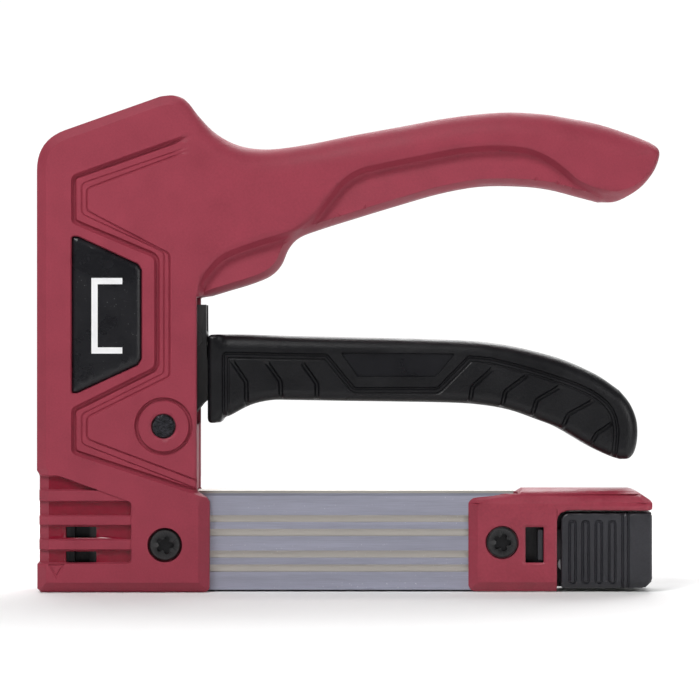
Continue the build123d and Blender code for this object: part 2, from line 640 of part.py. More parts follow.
pieces = (
    housing_left, housing_right, housing_screws, badge_left, badge_right, pivot_pin, pivot_washers,
    rocker_pin, rocker_spacers, nose_block, nose_plate, bumper, hammer, driver_blade, driver_rivets,
    drive_spring, spring_seat, rocker, lever_frame, roller_pin, lever_roller, lever_grip, grip_screw,
    lever_return_spring, magazine_channel, foot_screws, tail_cap, tail_screws, staple_rail, latch_body,
    rail_rivets, pusher_rod, rod_stop, pusher, pusher_spring, latch_arm_left, latch_arm_right,
)
for piece in pieces:
    export_step(piece.part, f"parts/{piece.part.label}.step")
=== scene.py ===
"""Hand staple gun: the visible shells, grip and finishes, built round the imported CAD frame.

The moulded parts are sculpted as reliefs: a flat outline is triangulated, every point is given a height
over the tool's parting plane, and the sheet is closed down to that plane. Lengths are in millimetres
until a mesh is written, and in metres after that.
"""

import logging
import math
from dataclasses import dataclass, field
from enum import Enum
from typing import Callable

import bmesh
import bpy
import numpy as np
from mathutils import Matrix, Vector
from mathutils.geometry import delaunay_2d_cdt


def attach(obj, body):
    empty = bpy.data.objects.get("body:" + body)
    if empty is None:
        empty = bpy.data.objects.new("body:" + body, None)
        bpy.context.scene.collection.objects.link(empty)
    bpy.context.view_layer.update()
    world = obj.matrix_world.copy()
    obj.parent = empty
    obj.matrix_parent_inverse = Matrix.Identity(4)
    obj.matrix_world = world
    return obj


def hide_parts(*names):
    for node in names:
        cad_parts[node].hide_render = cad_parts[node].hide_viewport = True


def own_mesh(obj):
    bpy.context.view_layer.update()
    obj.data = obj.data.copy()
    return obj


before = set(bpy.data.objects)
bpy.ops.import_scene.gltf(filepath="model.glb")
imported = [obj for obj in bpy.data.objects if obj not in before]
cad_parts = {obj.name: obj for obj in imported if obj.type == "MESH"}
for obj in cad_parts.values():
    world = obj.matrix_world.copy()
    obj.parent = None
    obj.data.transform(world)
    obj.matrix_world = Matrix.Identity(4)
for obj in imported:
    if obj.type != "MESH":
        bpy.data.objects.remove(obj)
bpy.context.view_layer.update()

log = logging.getLogger("staple_gun")

MM = 0.001
TINY = 0.02  # millimetres: nearer than this counts as on a line
PLASTIC_IOR = 1.5
ROUGH_SPREAD = 0.08  # how far roughness drifts each way
# size and colour of the pale flecks painted in as glints
GLINT_MM = 1.1
GLINT_COLOUR = (0.9, 0.9, 0.9, 1.0)
SHARP_DEGREES = 32.0  # edges bent by more than this stay sharp
RING_SHARES = (0.03, 0.1, 0.22, 0.4, 0.65, 1.0)  # where rings of points follow a relief's edge inwards
ROW_PITCH = 0.87  # row spacing of a grid of near-equilateral triangles
Points = np.ndarray


# ---- Colour and nodes ----
def linear(hex_colour: str) -> tuple[float, float, float, float]:
    """Turn an sRGB hex value into linear colour.

    Args:
        hex_colour: Six hex digits, with or without a leading '#'.

    Returns:
        Linear red, green, blue and an alpha of 1.
    """
    digits = hex_colour.lstrip("#")
    channels = [int(digits[i:i + 2], 16) / 255 for i in (0, 2, 4)]
    toned = [c / 12.92 if c <= 0.04045 else ((c + 0.055) / 1.055) ** 2.4 for c in channels]
    return (toned[0], toned[1], toned[2], 1.0)


def add_node(owner: bpy.types.ID, kind: str, settings: dict | None = None,
             values: dict | None = None, links: dict | None = None) -> bpy.types.Node:
    """Add one shader node with its settings, socket values and incoming links.

    Args:
        owner: The material or world whose tree takes the node.
        kind: The node's type name.
        settings: Attributes to set on the node.
        values: Socket name or index to default value.
        links: Socket name or index to the output socket that feeds it.

    Returns:
        The new node.
    """
    made = owner.node_tree.nodes.new(kind)
    for name, value in (settings or {}).items():
        setattr(made, name, value)
    for name, value in (values or {}).items():
        made.inputs[name].default_value = value
    for name, source in (links or {}).items():
        owner.node_tree.links.new(source, made.inputs[name])
    return made


def map_range(owner: bpy.types.ID, source: bpy.types.NodeSocket, low: float, high: float,
              to_low: float = 0.0, to_high: float = 1.0, smooth: bool = False) -> bpy.types.NodeSocket:
    """Map a value from one range to another, held at both ends."""
    settings = {"interpolation_type": "SMOOTHSTEP"} if smooth else None
    limits = {"From Min": low, "From Max": high, "To Min": to_low, "To Max": to_high}
    return add_node(owner, "ShaderNodeMapRange", settings, limits, {"Value": source}).outputs[0]


def mix_colours(owner: bpy.types.ID, share: bpy.types.NodeSocket, low: tuple | bpy.types.NodeSocket,
                high: tuple | bpy.types.NodeSocket) -> bpy.types.NodeSocket:
    """Mix two colours, each given as a value or as the socket that feeds it."""
    values, links = {}, {0: share}
    for index, colour in ((6, low), (7, high)):
        (values if isinstance(colour, tuple) else links)[index] = colour
    return add_node(owner, "ShaderNodeMix", {"data_type": "RGBA"}, values, links).outputs[2]


@dataclass(frozen=True)
class Finish:
    """A surface finish, from its base colour to its finest grain.

    grain_mm is the size of the finest bumps and grain_rise_mm their height. stretch squeezes the grain
    along an axis, as rolling or drawing does. mottle is how far the colour drifts, 0 to 1. specks is the
    brightness of sparse pale flecks, painted glints. Where |Y| is under painted_flute_half_mm the groove
    colour
    shows instead: painted light that makes the flutes a lighter, warmer grey.
    """

    name: str
    colour: str
    roughness: float
    metallic: float = 0.0
    grain_mm: float = 0.45
    grain_rise_mm: float = 0.02
    stretch: tuple[float, float, float] = (1.0, 1.0, 1.0)
    mottle: float = 0.08
    mottle_mm: float = 9.0
    specular: float = 0.5
    wear: float = 0.0
    painted_glints: float = 0.0
    painted_flute_colour: str = ""
    painted_flute_half_mm: float = 0.0

    def make(self) -> bpy.types.Material:
        """Build the material.

        Returns:
            The finished material.
        """
        material = bpy.data.materials.new(self.name)
        material.use_nodes = True
        material.node_tree.nodes.clear()
        place = add_node(material, "ShaderNodeTexCoord").outputs["Object"]
        spread = add_node(material, "ShaderNodeMapping", values={"Scale": self.stretch},
                          links={"Vector": place}).outputs[0]
        grain = self._noise(material, spread, self.grain_mm, 3.0, 0.6)
        drift = self._noise(material, spread, self.mottle_mm, 4.0, 0.55)
        base = linear(self.colour)
        low = tuple(c * (1 - self.mottle) for c in base[:3]) + (1.0,)
        high = tuple(min(1.0, c * (1 + self.mottle)) for c in base[:3]) + (1.0,)
        both = add_node(material, "ShaderNodeMath", {"operation": "MULTIPLY_ADD"}, {1: 0.9},
                        {0: grain, 2: drift}).outputs[0]
        colour = mix_colours(material, map_range(material, both, 0.65, 1.25), low, high)
        # painted light: the flutes take a lighter, warmer grey
        if self.painted_flute_colour:
            colour = self._paint_flute_light(material, place, colour)
        # painted glints: sparse pale flecks in the colour
        if self.painted_glints:
            colour = self._paint_glints(material, place, drift, colour)
        if self.wear:
            colour = self._wear_edges(material, colour)
        rough = map_range(material, drift, 0.3, 0.7, max(0.03, self.roughness - ROUGH_SPREAD),
                          min(1.0, self.roughness + ROUGH_SPREAD))
        bump = add_node(material, "ShaderNodeBump", values={
            "Strength": 1.0, "Distance": self.grain_rise_mm * MM}, links={"Height": grain}).outputs[0]
        shader = add_node(material, "ShaderNodeBsdfPrincipled", values={
            "Metallic": self.metallic, "IOR": PLASTIC_IOR, "Specular IOR Level": self.specular},
            links={"Base Color": colour, "Roughness": rough, "Normal": bump}).outputs[0]
        add_node(material, "ShaderNodeOutputMaterial", links={"Surface": shader})
        return material

    @staticmethod
    def _noise(material: bpy.types.Material, place: bpy.types.NodeSocket, size_mm: float, detail: float,
               roughness: float) -> bpy.types.NodeSocket:
        """Add noise whose features are about one size across."""
        return add_node(material, "ShaderNodeTexNoise", values={
            "Scale": 1 / (size_mm * MM), "Detail": detail, "Roughness": roughness},
            links={"Vector": place}).outputs["Fac"]

    def _paint_glints(self, material: bpy.types.Material, place: bpy.types.NodeSocket,
                        drift: bpy.types.NodeSocket, colour: bpy.types.NodeSocket) -> bpy.types.NodeSocket:
        """Scatter painted glints, pale flecks, over the patches where the drift is high."""
        glint_cell = add_node(material, "ShaderNodeTexVoronoi", values={"Scale": 1 / (GLINT_MM * MM)},
                         links={"Vector": place}).outputs["Distance"]
        few = map_range(material, glint_cell, 0.16, 0.05, 0.0, self.painted_glints)
        patch = map_range(material, drift, 0.5, 0.62)
        share = add_node(material, "ShaderNodeMath", {"operation": "MULTIPLY"},
                         links={0: few, 1: patch}).outputs[0]
        return mix_colours(material, share, colour, GLINT_COLOUR)

    def _wear_edges(self, material: bpy.types.Material,
                    colour: bpy.types.NodeSocket) -> bpy.types.NodeSocket:
        """Show a paler tone where an edge has worn."""
        edge = add_node(material, "ShaderNodeNewGeometry").outputs["Pointiness"]
        worn = map_range(material, edge, 0.53, 0.62, 0.0, self.wear)
        pale = tuple(c * 0.6 + 0.12 for c in linear(self.colour)[:3]) + (1.0,)
        return mix_colours(material, worn, colour, pale)

    def _paint_flute_light(self, material: bpy.types.Material, place: bpy.types.NodeSocket,
                      colour: bpy.types.NodeSocket) -> bpy.types.NodeSocket:
        """Paint light on the flutes: a lighter, warmer grey on everything nearer the parting plane than the
        flutes' lands.
        """
        across = add_node(material, "ShaderNodeSeparateXYZ", links={0: place}).outputs["Y"]
        away = add_node(material, "ShaderNodeMath", {"operation": "ABSOLUTE"}, links={0: across}).outputs[0]
        deep = add_node(material, "ShaderNodeMath", {"operation": "LESS_THAN"},
                        {1: self.painted_flute_half_mm * MM}, {0: away}).outputs[0]
        return mix_colours(material, deep, colour, linear(self.painted_flute_colour))


# ABS moulded in a spark-eroded tool: even, fine, matt grain, a little glossier where hands rub it
HOUSING_RED = Finish("abs_red_spark_eroded", "#8E3343", 0.58, grain_mm=0.6, grain_rise_mm=0.045, mottle=0.1,
                     specular=0.3)
# the same plastic off a polished part of the tool: deeper colour and a clear gloss
VENT_RED = Finish("abs_red_polished", "#7A0F26", 0.2, grain_mm=1.6, grain_rise_mm=0.012, mottle=0.12,
                  specular=0.3)
# cap moulding with a coarser, orange-peel surface
CAP_RED = Finish("abs_red_coarse", "#933444", 0.42, grain_mm=0.9, grain_rise_mm=0.09, mottle=0.14,
                 specular=0.4)
# glass-filled nylon grip: near black, satin, with a leather-fine stipple
GRIP_BLACK = Finish("nylon_black_stippled", "#0E0E11", 0.38, grain_mm=0.55, grain_rise_mm=0.09, mottle=0.2,
                    specular=0.3)
GRIP_GLOSS = Finish("nylon_black_polished", "#121216", 0.3, grain_mm=2.0, grain_rise_mm=0.01, mottle=0.15,
                    specular=0.3)
LATCH_BLACK = Finish("acetal_black_satin", "#2A2A2F", 0.42, grain_mm=0.7, grain_rise_mm=0.05, mottle=0.2,
                     specular=0.45)
BADGE_BLACK = Finish("acrylic_black_fine_grain", "#141418", 0.3, grain_mm=0.7, grain_rise_mm=0.05,
                     mottle=0.2, specular=0.35, painted_glints=0.12)
BADGE_WHITE = Finish("pad_print_white", "#E9E9EA", 0.45, grain_mm=0.5, grain_rise_mm=0.01, mottle=0.03)
# extruded aluminium, satin etched: draw lines run along the profile; painted light makes the flutes a
# lighter, warmer grey, and its pale flecks are painted glints
ALUMINIUM = Finish("aluminium_extruded_satin", "#A9AABA", 0.4, metallic=0.8, grain_mm=0.3,
                   grain_rise_mm=0.02, stretch=(0.03, 1.0, 1.0), mottle=0.14, mottle_mm=3.0, painted_glints=0.7,
                   painted_flute_colour="#C6C1BA", painted_flute_half_mm=8.2)
BLACK_OXIDE = Finish("steel_black_oxide", "#1B1B1D", 0.38, metallic=0.6, grain_mm=0.5, grain_rise_mm=0.03,
                     mottle=0.25, mottle_mm=2.5, wear=0.6)
# pin end peened over by the rivet hammer, then blackened; the pale flecks on it are painted glints
PEENED = Finish("steel_peened_black", "#333338", 0.2, metallic=0.9, grain_mm=1.0, grain_rise_mm=0.4,
                mottle=0.7, mottle_mm=1.0, painted_glints=0.5, wear=0.5)
ZINC = Finish("steel_zinc_plated", "#B9BABC", 0.3, metallic=1.0, grain_mm=0.6, grain_rise_mm=0.01,
              mottle=0.1, mottle_mm=4.0)
SPRING_WIRE = Finish("spring_wire_drawn", "#9B9C9E", 0.25, metallic=1.0, grain_mm=0.3, grain_rise_mm=0.008)
RUBBER = Finish("rubber_moulded", "#141414", 0.75, grain_mm=0.8, grain_rise_mm=0.04)
NYLON = Finish("nylon_natural", "#CFC9BA", 0.45, grain_mm=0.6, grain_rise_mm=0.015)

NODE_FINISHES: dict[str, Finish] = {
    "latch_body": LATCH_BLACK,
    "magazine_channel": ALUMINIUM,
    "foot_screws": BLACK_OXIDE, "tail_screws": BLACK_OXIDE, "housing_screws": BLACK_OXIDE,
    "pivot_pin": PEENED, "lever_frame": BLACK_OXIDE, "nose_block": BLACK_OXIDE, "hammer": BLACK_OXIDE,
    "rocker": BLACK_OXIDE, "grip_screw": BLACK_OXIDE,
    "lever_return_spring": SPRING_WIRE, "pusher_rod": SPRING_WIRE,
    "nose_plate": ZINC, "driver_blade": ZINC, "driver_rivets": ZINC, "staple_rail": ZINC,
    "rail_rivets": ZINC, "rod_stop": ZINC, "rocker_pin": ZINC, "roller_pin": BLACK_OXIDE,
    "lever_roller": BLACK_OXIDE,
    "pusher": ZINC, "spring_seat": ZINC,
    "bumper": RUBBER, "pivot_washers": NYLON, "rocker_spacers": NYLON,
}


class FinishShop:
    """Makes each finish's material once."""

    def __init__(self) -> None:
        """Start with no materials made."""
        self.made: dict[str, bpy.types.Material] = {}

    def get(self, finish: Finish) -> bpy.types.Material:
        """Return the finish's material, made on first use."""
        if finish.name not in self.made:
            self.made[finish.name] = finish.make()
        return self.made[finish.name]


# ---- Plane geometry ----
def smooth_curve(points: list[tuple[float, ...]], steps: int = 6) -> Points:
    """Run a Catmull-Rom curve through points of any width.

    Args:
        points: The stations, each a tuple of the same length.
        steps: How many stretches each span is cut into.

    Returns:
        The curve's points, the ends included.
    """
    p = np.array(points, dtype=float)
    padded = np.vstack([2 * p[0] - p[1], p, 2 * p[-1] - p[-2]])
    t = np.linspace(0, 1, steps, endpoint=False)[:, None]
    spans = []
    for a, b, c, d in zip(padded, padded[1:], padded[2:], padded[3:]):
        spans.append(0.5 * (2 * b + (c - a) * t + (2 * a - 5 * b + 4 * c - d) * t ** 2
                            + (3 * b - a - 3 * c + d) * t ** 3))
    return np.vstack(spans + [p[-1:]])


def round_corners(points: list[tuple[float, float]], radius: float, closed: bool = True,
                  steps: int = 4) -> Points:
    """Round each corner of a straight-sided line.

    Args:
        points: The corners.
        radius: The corner radius, cut down where a side is short.
        closed: Whether the line closes on itself.
        steps: Stretches in each rounded corner.

    Returns:
        The rounded line's points.
    """
    p = np.array(points, dtype=float)
    count = len(p)
    out = []
    for i in range(count):
        if not closed and i in (0, count - 1):
            out.append(p[i])
            continue
        before, here, after = p[i - 1], p[i], p[(i + 1) % count]
        u, v = before - here, after - here
        lu, lv = np.linalg.norm(u), np.linalg.norm(v)
        half = 0.5 * math.acos(float(np.clip(np.dot(u, v) / (lu * lv), -1, 1)))
        cut = min(radius / math.tan(max(half, 0.05)), 0.45 * lu, 0.45 * lv)
        a, b = here + u / lu * cut, here + v / lv * cut
        for t in np.linspace(0, 1, steps + 1):
            out.append((1 - t) ** 2 * a + 2 * t * (1 - t) * here + t ** 2 * b)
    return np.array(out)


def rectangle(x1: float, z1: float, x2: float, z2: float, radius: float, steps: int = 2) -> Points:
    """A rectangle with rounded corners, anticlockwise."""
    return round_corners([(x1, z1), (x2, z1), (x2, z2), (x1, z2)], radius, steps=steps)


def densify(line: Points, step: float, closed: bool = True) -> Points:
    """Cut a line's long stretches to at most a step, keeping its own points and extra columns."""
    ends = np.roll(line, -1, axis=0) if closed else line[1:]
    out = []
    for a, b in zip(line, ends):
        parts = max(1, int(math.ceil(np.linalg.norm(b[:2] - a[:2]) / step)))
        out.extend(a + (b - a) * k / parts for k in range(parts))
    if not closed:
        out.append(line[-1])
    return np.array(out)


def inside(points: Points, polygon: Points) -> np.ndarray:
    """Tell which points lie inside a closed polygon."""
    x, y = points[:, 0], points[:, 1]
    hit = np.zeros(len(points), dtype=bool)
    for (x1, y1), (x2, y2) in zip(polygon[:, :2], np.roll(polygon[:, :2], -1, axis=0)):
        if y1 == y2:
            continue
        cross = (y1 > y) != (y2 > y)
        hit ^= cross & (x < (x2 - x1) * (y - y1) / (y2 - y1) + x1)
    return hit


def distance(points: Points, line: Points, closed: bool = True) -> np.ndarray:
    """Distance of each point from a line."""
    ends = np.roll(line[:, :2], -1, axis=0) if closed else line[1:, :2]
    best = np.full(len(points), 1e9)
    for a, b in zip(line[:, :2], ends):
        along = b - a
        size = float(np.dot(along, along)) or 1e-12
        t = np.clip(((points - a) @ along) / size, 0, 1)[:, None]
        best = np.minimum(best, np.linalg.norm(points - (a + t * along), axis=1))
    return best


def depth_inside(points: Points, polygon: Points) -> np.ndarray:
    """Distance inside a closed polygon, negative outside it."""
    return np.where(inside(points, polygon), 1.0, -1.0) * distance(points, polygon)


def shifted(line: Points, amount: float, closed: bool = True) -> Points:
    """Move a line sideways, to its left, with mitred corners."""
    p = line[:, :2]
    if closed:
        back, ahead = p - np.roll(p, 1, axis=0), np.roll(p, -1, axis=0) - p
    else:
        ahead = np.vstack([p[1:] - p[:-1], p[-1:] - p[-2:-1]])
        back = np.vstack([ahead[:1], ahead[:-1]])
    turn = np.array([[0, 1], [-1, 0]])
    n1 = (back / (np.linalg.norm(back, axis=1, keepdims=True) + 1e-12)) @ turn
    n2 = (ahead / (np.linalg.norm(ahead, axis=1, keepdims=True) + 1e-12)) @ turn
    mitre = (n1 + n2) / (1 + np.sum(n1 * n2, axis=1, keepdims=True)).clip(0.35)
    return p + mitre * amount


def ease(value: np.ndarray, low: float, high: float) -> np.ndarray:
    """Smooth step from 0 at low to 1 at high."""
    t = np.clip((value - low) / (high - low), 0, 1)
    return t * t * (3 - 2 * t)


def circle(x: float, z: float, radius: float, count: int = 40) -> Points:
    """A closed circle of points, anticlockwise."""
    angle = np.linspace(0, 2 * math.pi, count, endpoint=False)
    return np.column_stack([x + radius * np.cos(angle), z + radius * np.sin(angle)])


# ---- Relief ----
class Edge(Enum):
    """How the relief falls away to its outline."""

    BEVEL = 0.0
    ROUND = 1.0


@dataclass(frozen=True)
class Step:
    """A crease that the height follows: how far it rises at each distance inside a line.

    tail closes an open line far off. inward is 1 where the inside lies to the line's left, else -1.
    """

    line: Points
    offsets: tuple[float, ...]
    rises: tuple[float, ...]
    tail: tuple[tuple[float, float], ...] = ()
    inward: float = 1.0

    def depth(self, points: Points) -> np.ndarray:
        """How far inside the line each point is."""
        return depth_inside(points, np.vstack([self.line, self.tail]) if self.tail else self.line)

    def rise(self, points: Points) -> np.ndarray:
        """How far the height changes at each point."""
        return np.interp(self.depth(points), self.offsets, self.rises)

    def lines(self) -> list[tuple[Points, bool]]:
        """The lines that the mesh has to follow."""
        closed = not self.tail
        return [(shifted(self.line, self.inward * d, closed), closed) for d in self.offsets]


@dataclass
class Relief:
    """A sheet over an outline, with a height at every point.

    The outline's columns are x, z, the width of its edge, how far the edge drops, its roundness from
    Edge, and the height that its wall comes down to.
    """

    outline: Points
    thickness: Callable[[Points], np.ndarray]
    grid: float = 1.4
    lines: list[tuple[Points, bool]] = field(default_factory=list)
    holes: list[Points] = field(default_factory=list)
    carve: Callable[[Points, np.ndarray], np.ndarray] | None = None

    def heights(self, points: Points) -> np.ndarray:
        """Give each point its height over the parting plane."""
        full = self.thickness(points)
        result = full.copy()
        rows = self.outline
        for a, b in zip(rows, np.roll(rows, -1, axis=0)):
            along = b[:2] - a[:2]
            size = float(np.dot(along, along)) or 1e-12
            t = np.clip(((points - a[:2]) @ along) / size, 0, 1)
            away = np.linalg.norm(points - (a[:2] + t[:, None] * along), axis=1)
            width = a[2] + t * (b[2] - a[2])
            drop = a[3] + t * (b[3] - a[3])
            mix = a[4] + t * (b[4] - a[4])
            u = np.clip(away / width, 0, 1)
            fall = (1 - mix) * (1 - u) + mix * (1 - np.sqrt(1 - (1 - u) ** 2))
            result = np.minimum(result, full - drop * fall)
        return self.carve(points, result) if self.carve else result

    def points_and_edges(self) -> tuple[Points, list[tuple[int, int]]]:
        """Lay out the sheet's points and the edges that it has to keep."""
        rims = [self.outline[:, :2]] + [line for line, _ in self.lines] + self.holes
        flags = [True] + [closed for _, closed in self.lines] + [True] * len(self.holes)
        edges: list[tuple[int, int]] = []
        start = 0
        for line, closed in zip(rims, flags):
            count = len(line)
            last = count if closed else count - 1
            edges += [(start + i, start + (i + 1) % count) for i in range(last)]
            start += count
        fixed = np.vstack([line[:, :2] for line in rims])
        rings = [self._ring(share) for share in RING_SHARES]
        low, high = self.outline[:, :2].min(axis=0), self.outline[:, :2].max(axis=0)
        rows = []
        for k, z in enumerate(np.arange(low[1], high[1], self.grid * ROW_PITCH)):
            xs = np.arange(low[0] + (k % 2) * self.grid / 2, high[0], self.grid)
            rows.append(np.column_stack([xs, np.full(len(xs), z)]))
        cloud = np.vstack(rows)
        cloud = cloud[inside(cloud, self.outline)]
        ring_points = np.vstack(rings)
        cloud = cloud[distance(cloud, self.outline) > 0.4 * self.grid]
        for line, flag in zip(rims[1:], flags[1:]):
            cloud = cloud[distance(cloud, line, flag) > 0.4 * self.grid]
            ring_points = ring_points[distance(ring_points, line, flag) > 0.15]
        return np.vstack([fixed, ring_points, cloud]), edges

    def _ring(self, share: float) -> Points:
        """Points a share of the edge's width in from the outline."""
        rows = self.outline
        turn = shifted(rows, 1.0) - rows[:, :2]
        ring = rows[:, :2] + turn * (rows[:, 2:3] * share)
        wanted = rows[:, 2] * share
        return ring[inside(ring, rows) & (distance(ring, rows) > 0.88 * wanted)]

    def build(self, name: str, mirrored: bool = False, both: bool = False,
              gloss: Callable[[Points], np.ndarray] | None = None) -> bpy.types.Object:
        """Make the mesh object.

        Args:
            name: The object's name.
            mirrored: Build it on the +Y side instead of -Y.
            both: Build both sides as one closed body.
            gloss: Tells which faces take the second material, from their centres.

        Returns:
            The linked object, in metres.
        """
        points, edges = self.points_and_edges()
        co, _, tris, _, _, _ = delaunay_2d_cdt([Vector(p) for p in points], edges, [], 0, 1e-4)
        flat = np.array([tuple(v) for v in co])
        faces = np.array([t for t in tris if len(t) == 3])
        middle = flat[faces].mean(axis=1)
        keep = inside(middle, self.outline)
        for hole in self.holes:
            keep &= ~inside(middle, hole)
        faces, middle = faces[keep], middle[keep]
        height = self.heights(flat)
        shine = gloss(middle) if gloss else np.zeros(len(faces), dtype=bool)
        bm = bmesh.new()
        verts = [bm.verts.new((x * MM, -h * MM, z * MM)) for (x, z), h in zip(flat, height)]
        for face, glossy in zip(faces, shine):
            bm.faces.new([verts[i] for i in face]).material_index = int(glossy)
        bmesh.ops.delete(bm, geom=[v for v in bm.verts if not v.link_faces], context="VERTS")
        self._add_wall(bm)
        if both:
            copy = bmesh.ops.duplicate(bm, geom=bm.verts[:] + bm.edges[:] + bm.faces[:])["geom"]
            bmesh.ops.scale(bm, vec=(1, -1, 1), verts=only_verts(copy))
            bmesh.ops.reverse_faces(bm, faces=[g for g in copy if isinstance(g, bmesh.types.BMFace)])
            bmesh.ops.remove_doubles(bm, verts=bm.verts[:], dist=2e-5)
        elif mirrored:
            bmesh.ops.scale(bm, vec=(1, -1, 1), verts=bm.verts[:])
        bmesh.ops.recalc_face_normals(bm, faces=bm.faces[:])
        self._face_outwards(bm, mirrored)
        return link_mesh(bm, name)

    def _add_wall(self, bm: bmesh.types.BMesh) -> None:
        """Bring the sheet's outer rim down to the wall height of the nearest outline station."""
        rim = [e for e in bm.edges if len(e.link_faces) == 1]
        outer = []
        for edge in rim:
            mid = np.array([[(edge.verts[0].co.x + edge.verts[1].co.x) / 2,
                             (edge.verts[0].co.z + edge.verts[1].co.z) / 2]]) / MM
            if distance(mid, self.outline)[0] < TINY:
                outer.append(edge)
        grown = bmesh.ops.extrude_edge_only(bm, edges=outer)["geom"]
        for vert in only_verts(grown):
            here = np.array([vert.co.x, vert.co.z]) / MM
            near = int(np.argmin(np.sum((self.outline[:, :2] - here) ** 2, axis=1)))
            vert.co.y = -min(self.outline[near, 5], -vert.co.y / MM - TINY) * MM

    @staticmethod
    def _face_outwards(bm: bmesh.types.BMesh, mirrored: bool) -> None:
        """Turn the faces over if the broad side faces the parting plane."""
        facing = sum(f.normal.y * f.calc_area() for f in bm.faces if abs(f.normal.y) > 0.9
                     and (f.calc_center_median().y > 0) == mirrored)
        if (facing < 0) == mirrored:
            bmesh.ops.reverse_faces(bm, faces=bm.faces[:])


def only_verts(geometry: list) -> list[bmesh.types.BMVert]:
    """Pick the vertices out of an operator's mixed result."""
    return [item for item in geometry if isinstance(item, bmesh.types.BMVert)]


def thicken(sheet: bpy.types.Object, amount: float) -> None:
    """Give a sheet a wall of so many millimetres, grown from its inner side."""
    wall = sheet.modifiers.new("wall", "SOLIDIFY")
    wall.thickness = amount * MM
    wall.offset = -1.0


def link_mesh(bm: bmesh.types.BMesh, name: str) -> bpy.types.Object:
    """Write a bmesh to a new linked object, shaded smooth with sharp creases."""
    mesh = bpy.data.meshes.new(name)
    bm.to_mesh(mesh)
    bm.free()
    mesh.shade_smooth()
    mesh.set_sharp_from_angle(angle=math.radians(SHARP_DEGREES))
    made = bpy.data.objects.new(name, mesh)
    bpy.context.scene.collection.objects.link(made)
    return made


def box_piece(bm: bmesh.types.BMesh, low: tuple[float, float, float], high: tuple[float, float, float],
              soften: float = 0.3) -> None:
    """Add a softened box to a mesh.

    Args:
        bm: The mesh that takes the box.
        low: Its lowest corner, in millimetres.
        high: Its highest corner, in millimetres.
        soften: The width of its edges, in millimetres.
    """
    made = bmesh.ops.create_cube(bm, size=1.0)["verts"]
    size = [(b - a) * MM for a, b in zip(low, high)]
    bmesh.ops.scale(bm, vec=size, verts=made)
    bmesh.ops.translate(bm, vec=[(a + b) / 2 * MM for a, b in zip(low, high)], verts=made)
    edges = list({edge for vert in made for edge in vert.link_edges})
    bmesh.ops.bevel(bm, geom=edges, offset=soften * MM, segments=2, profile=0.5, affect="EDGES",
                    material=-1)


def tell(piece: bpy.types.Object) -> None:
    """Report a finished piece."""
    log.info("%s: %d faces", piece.name, len(piece.data.polygons))


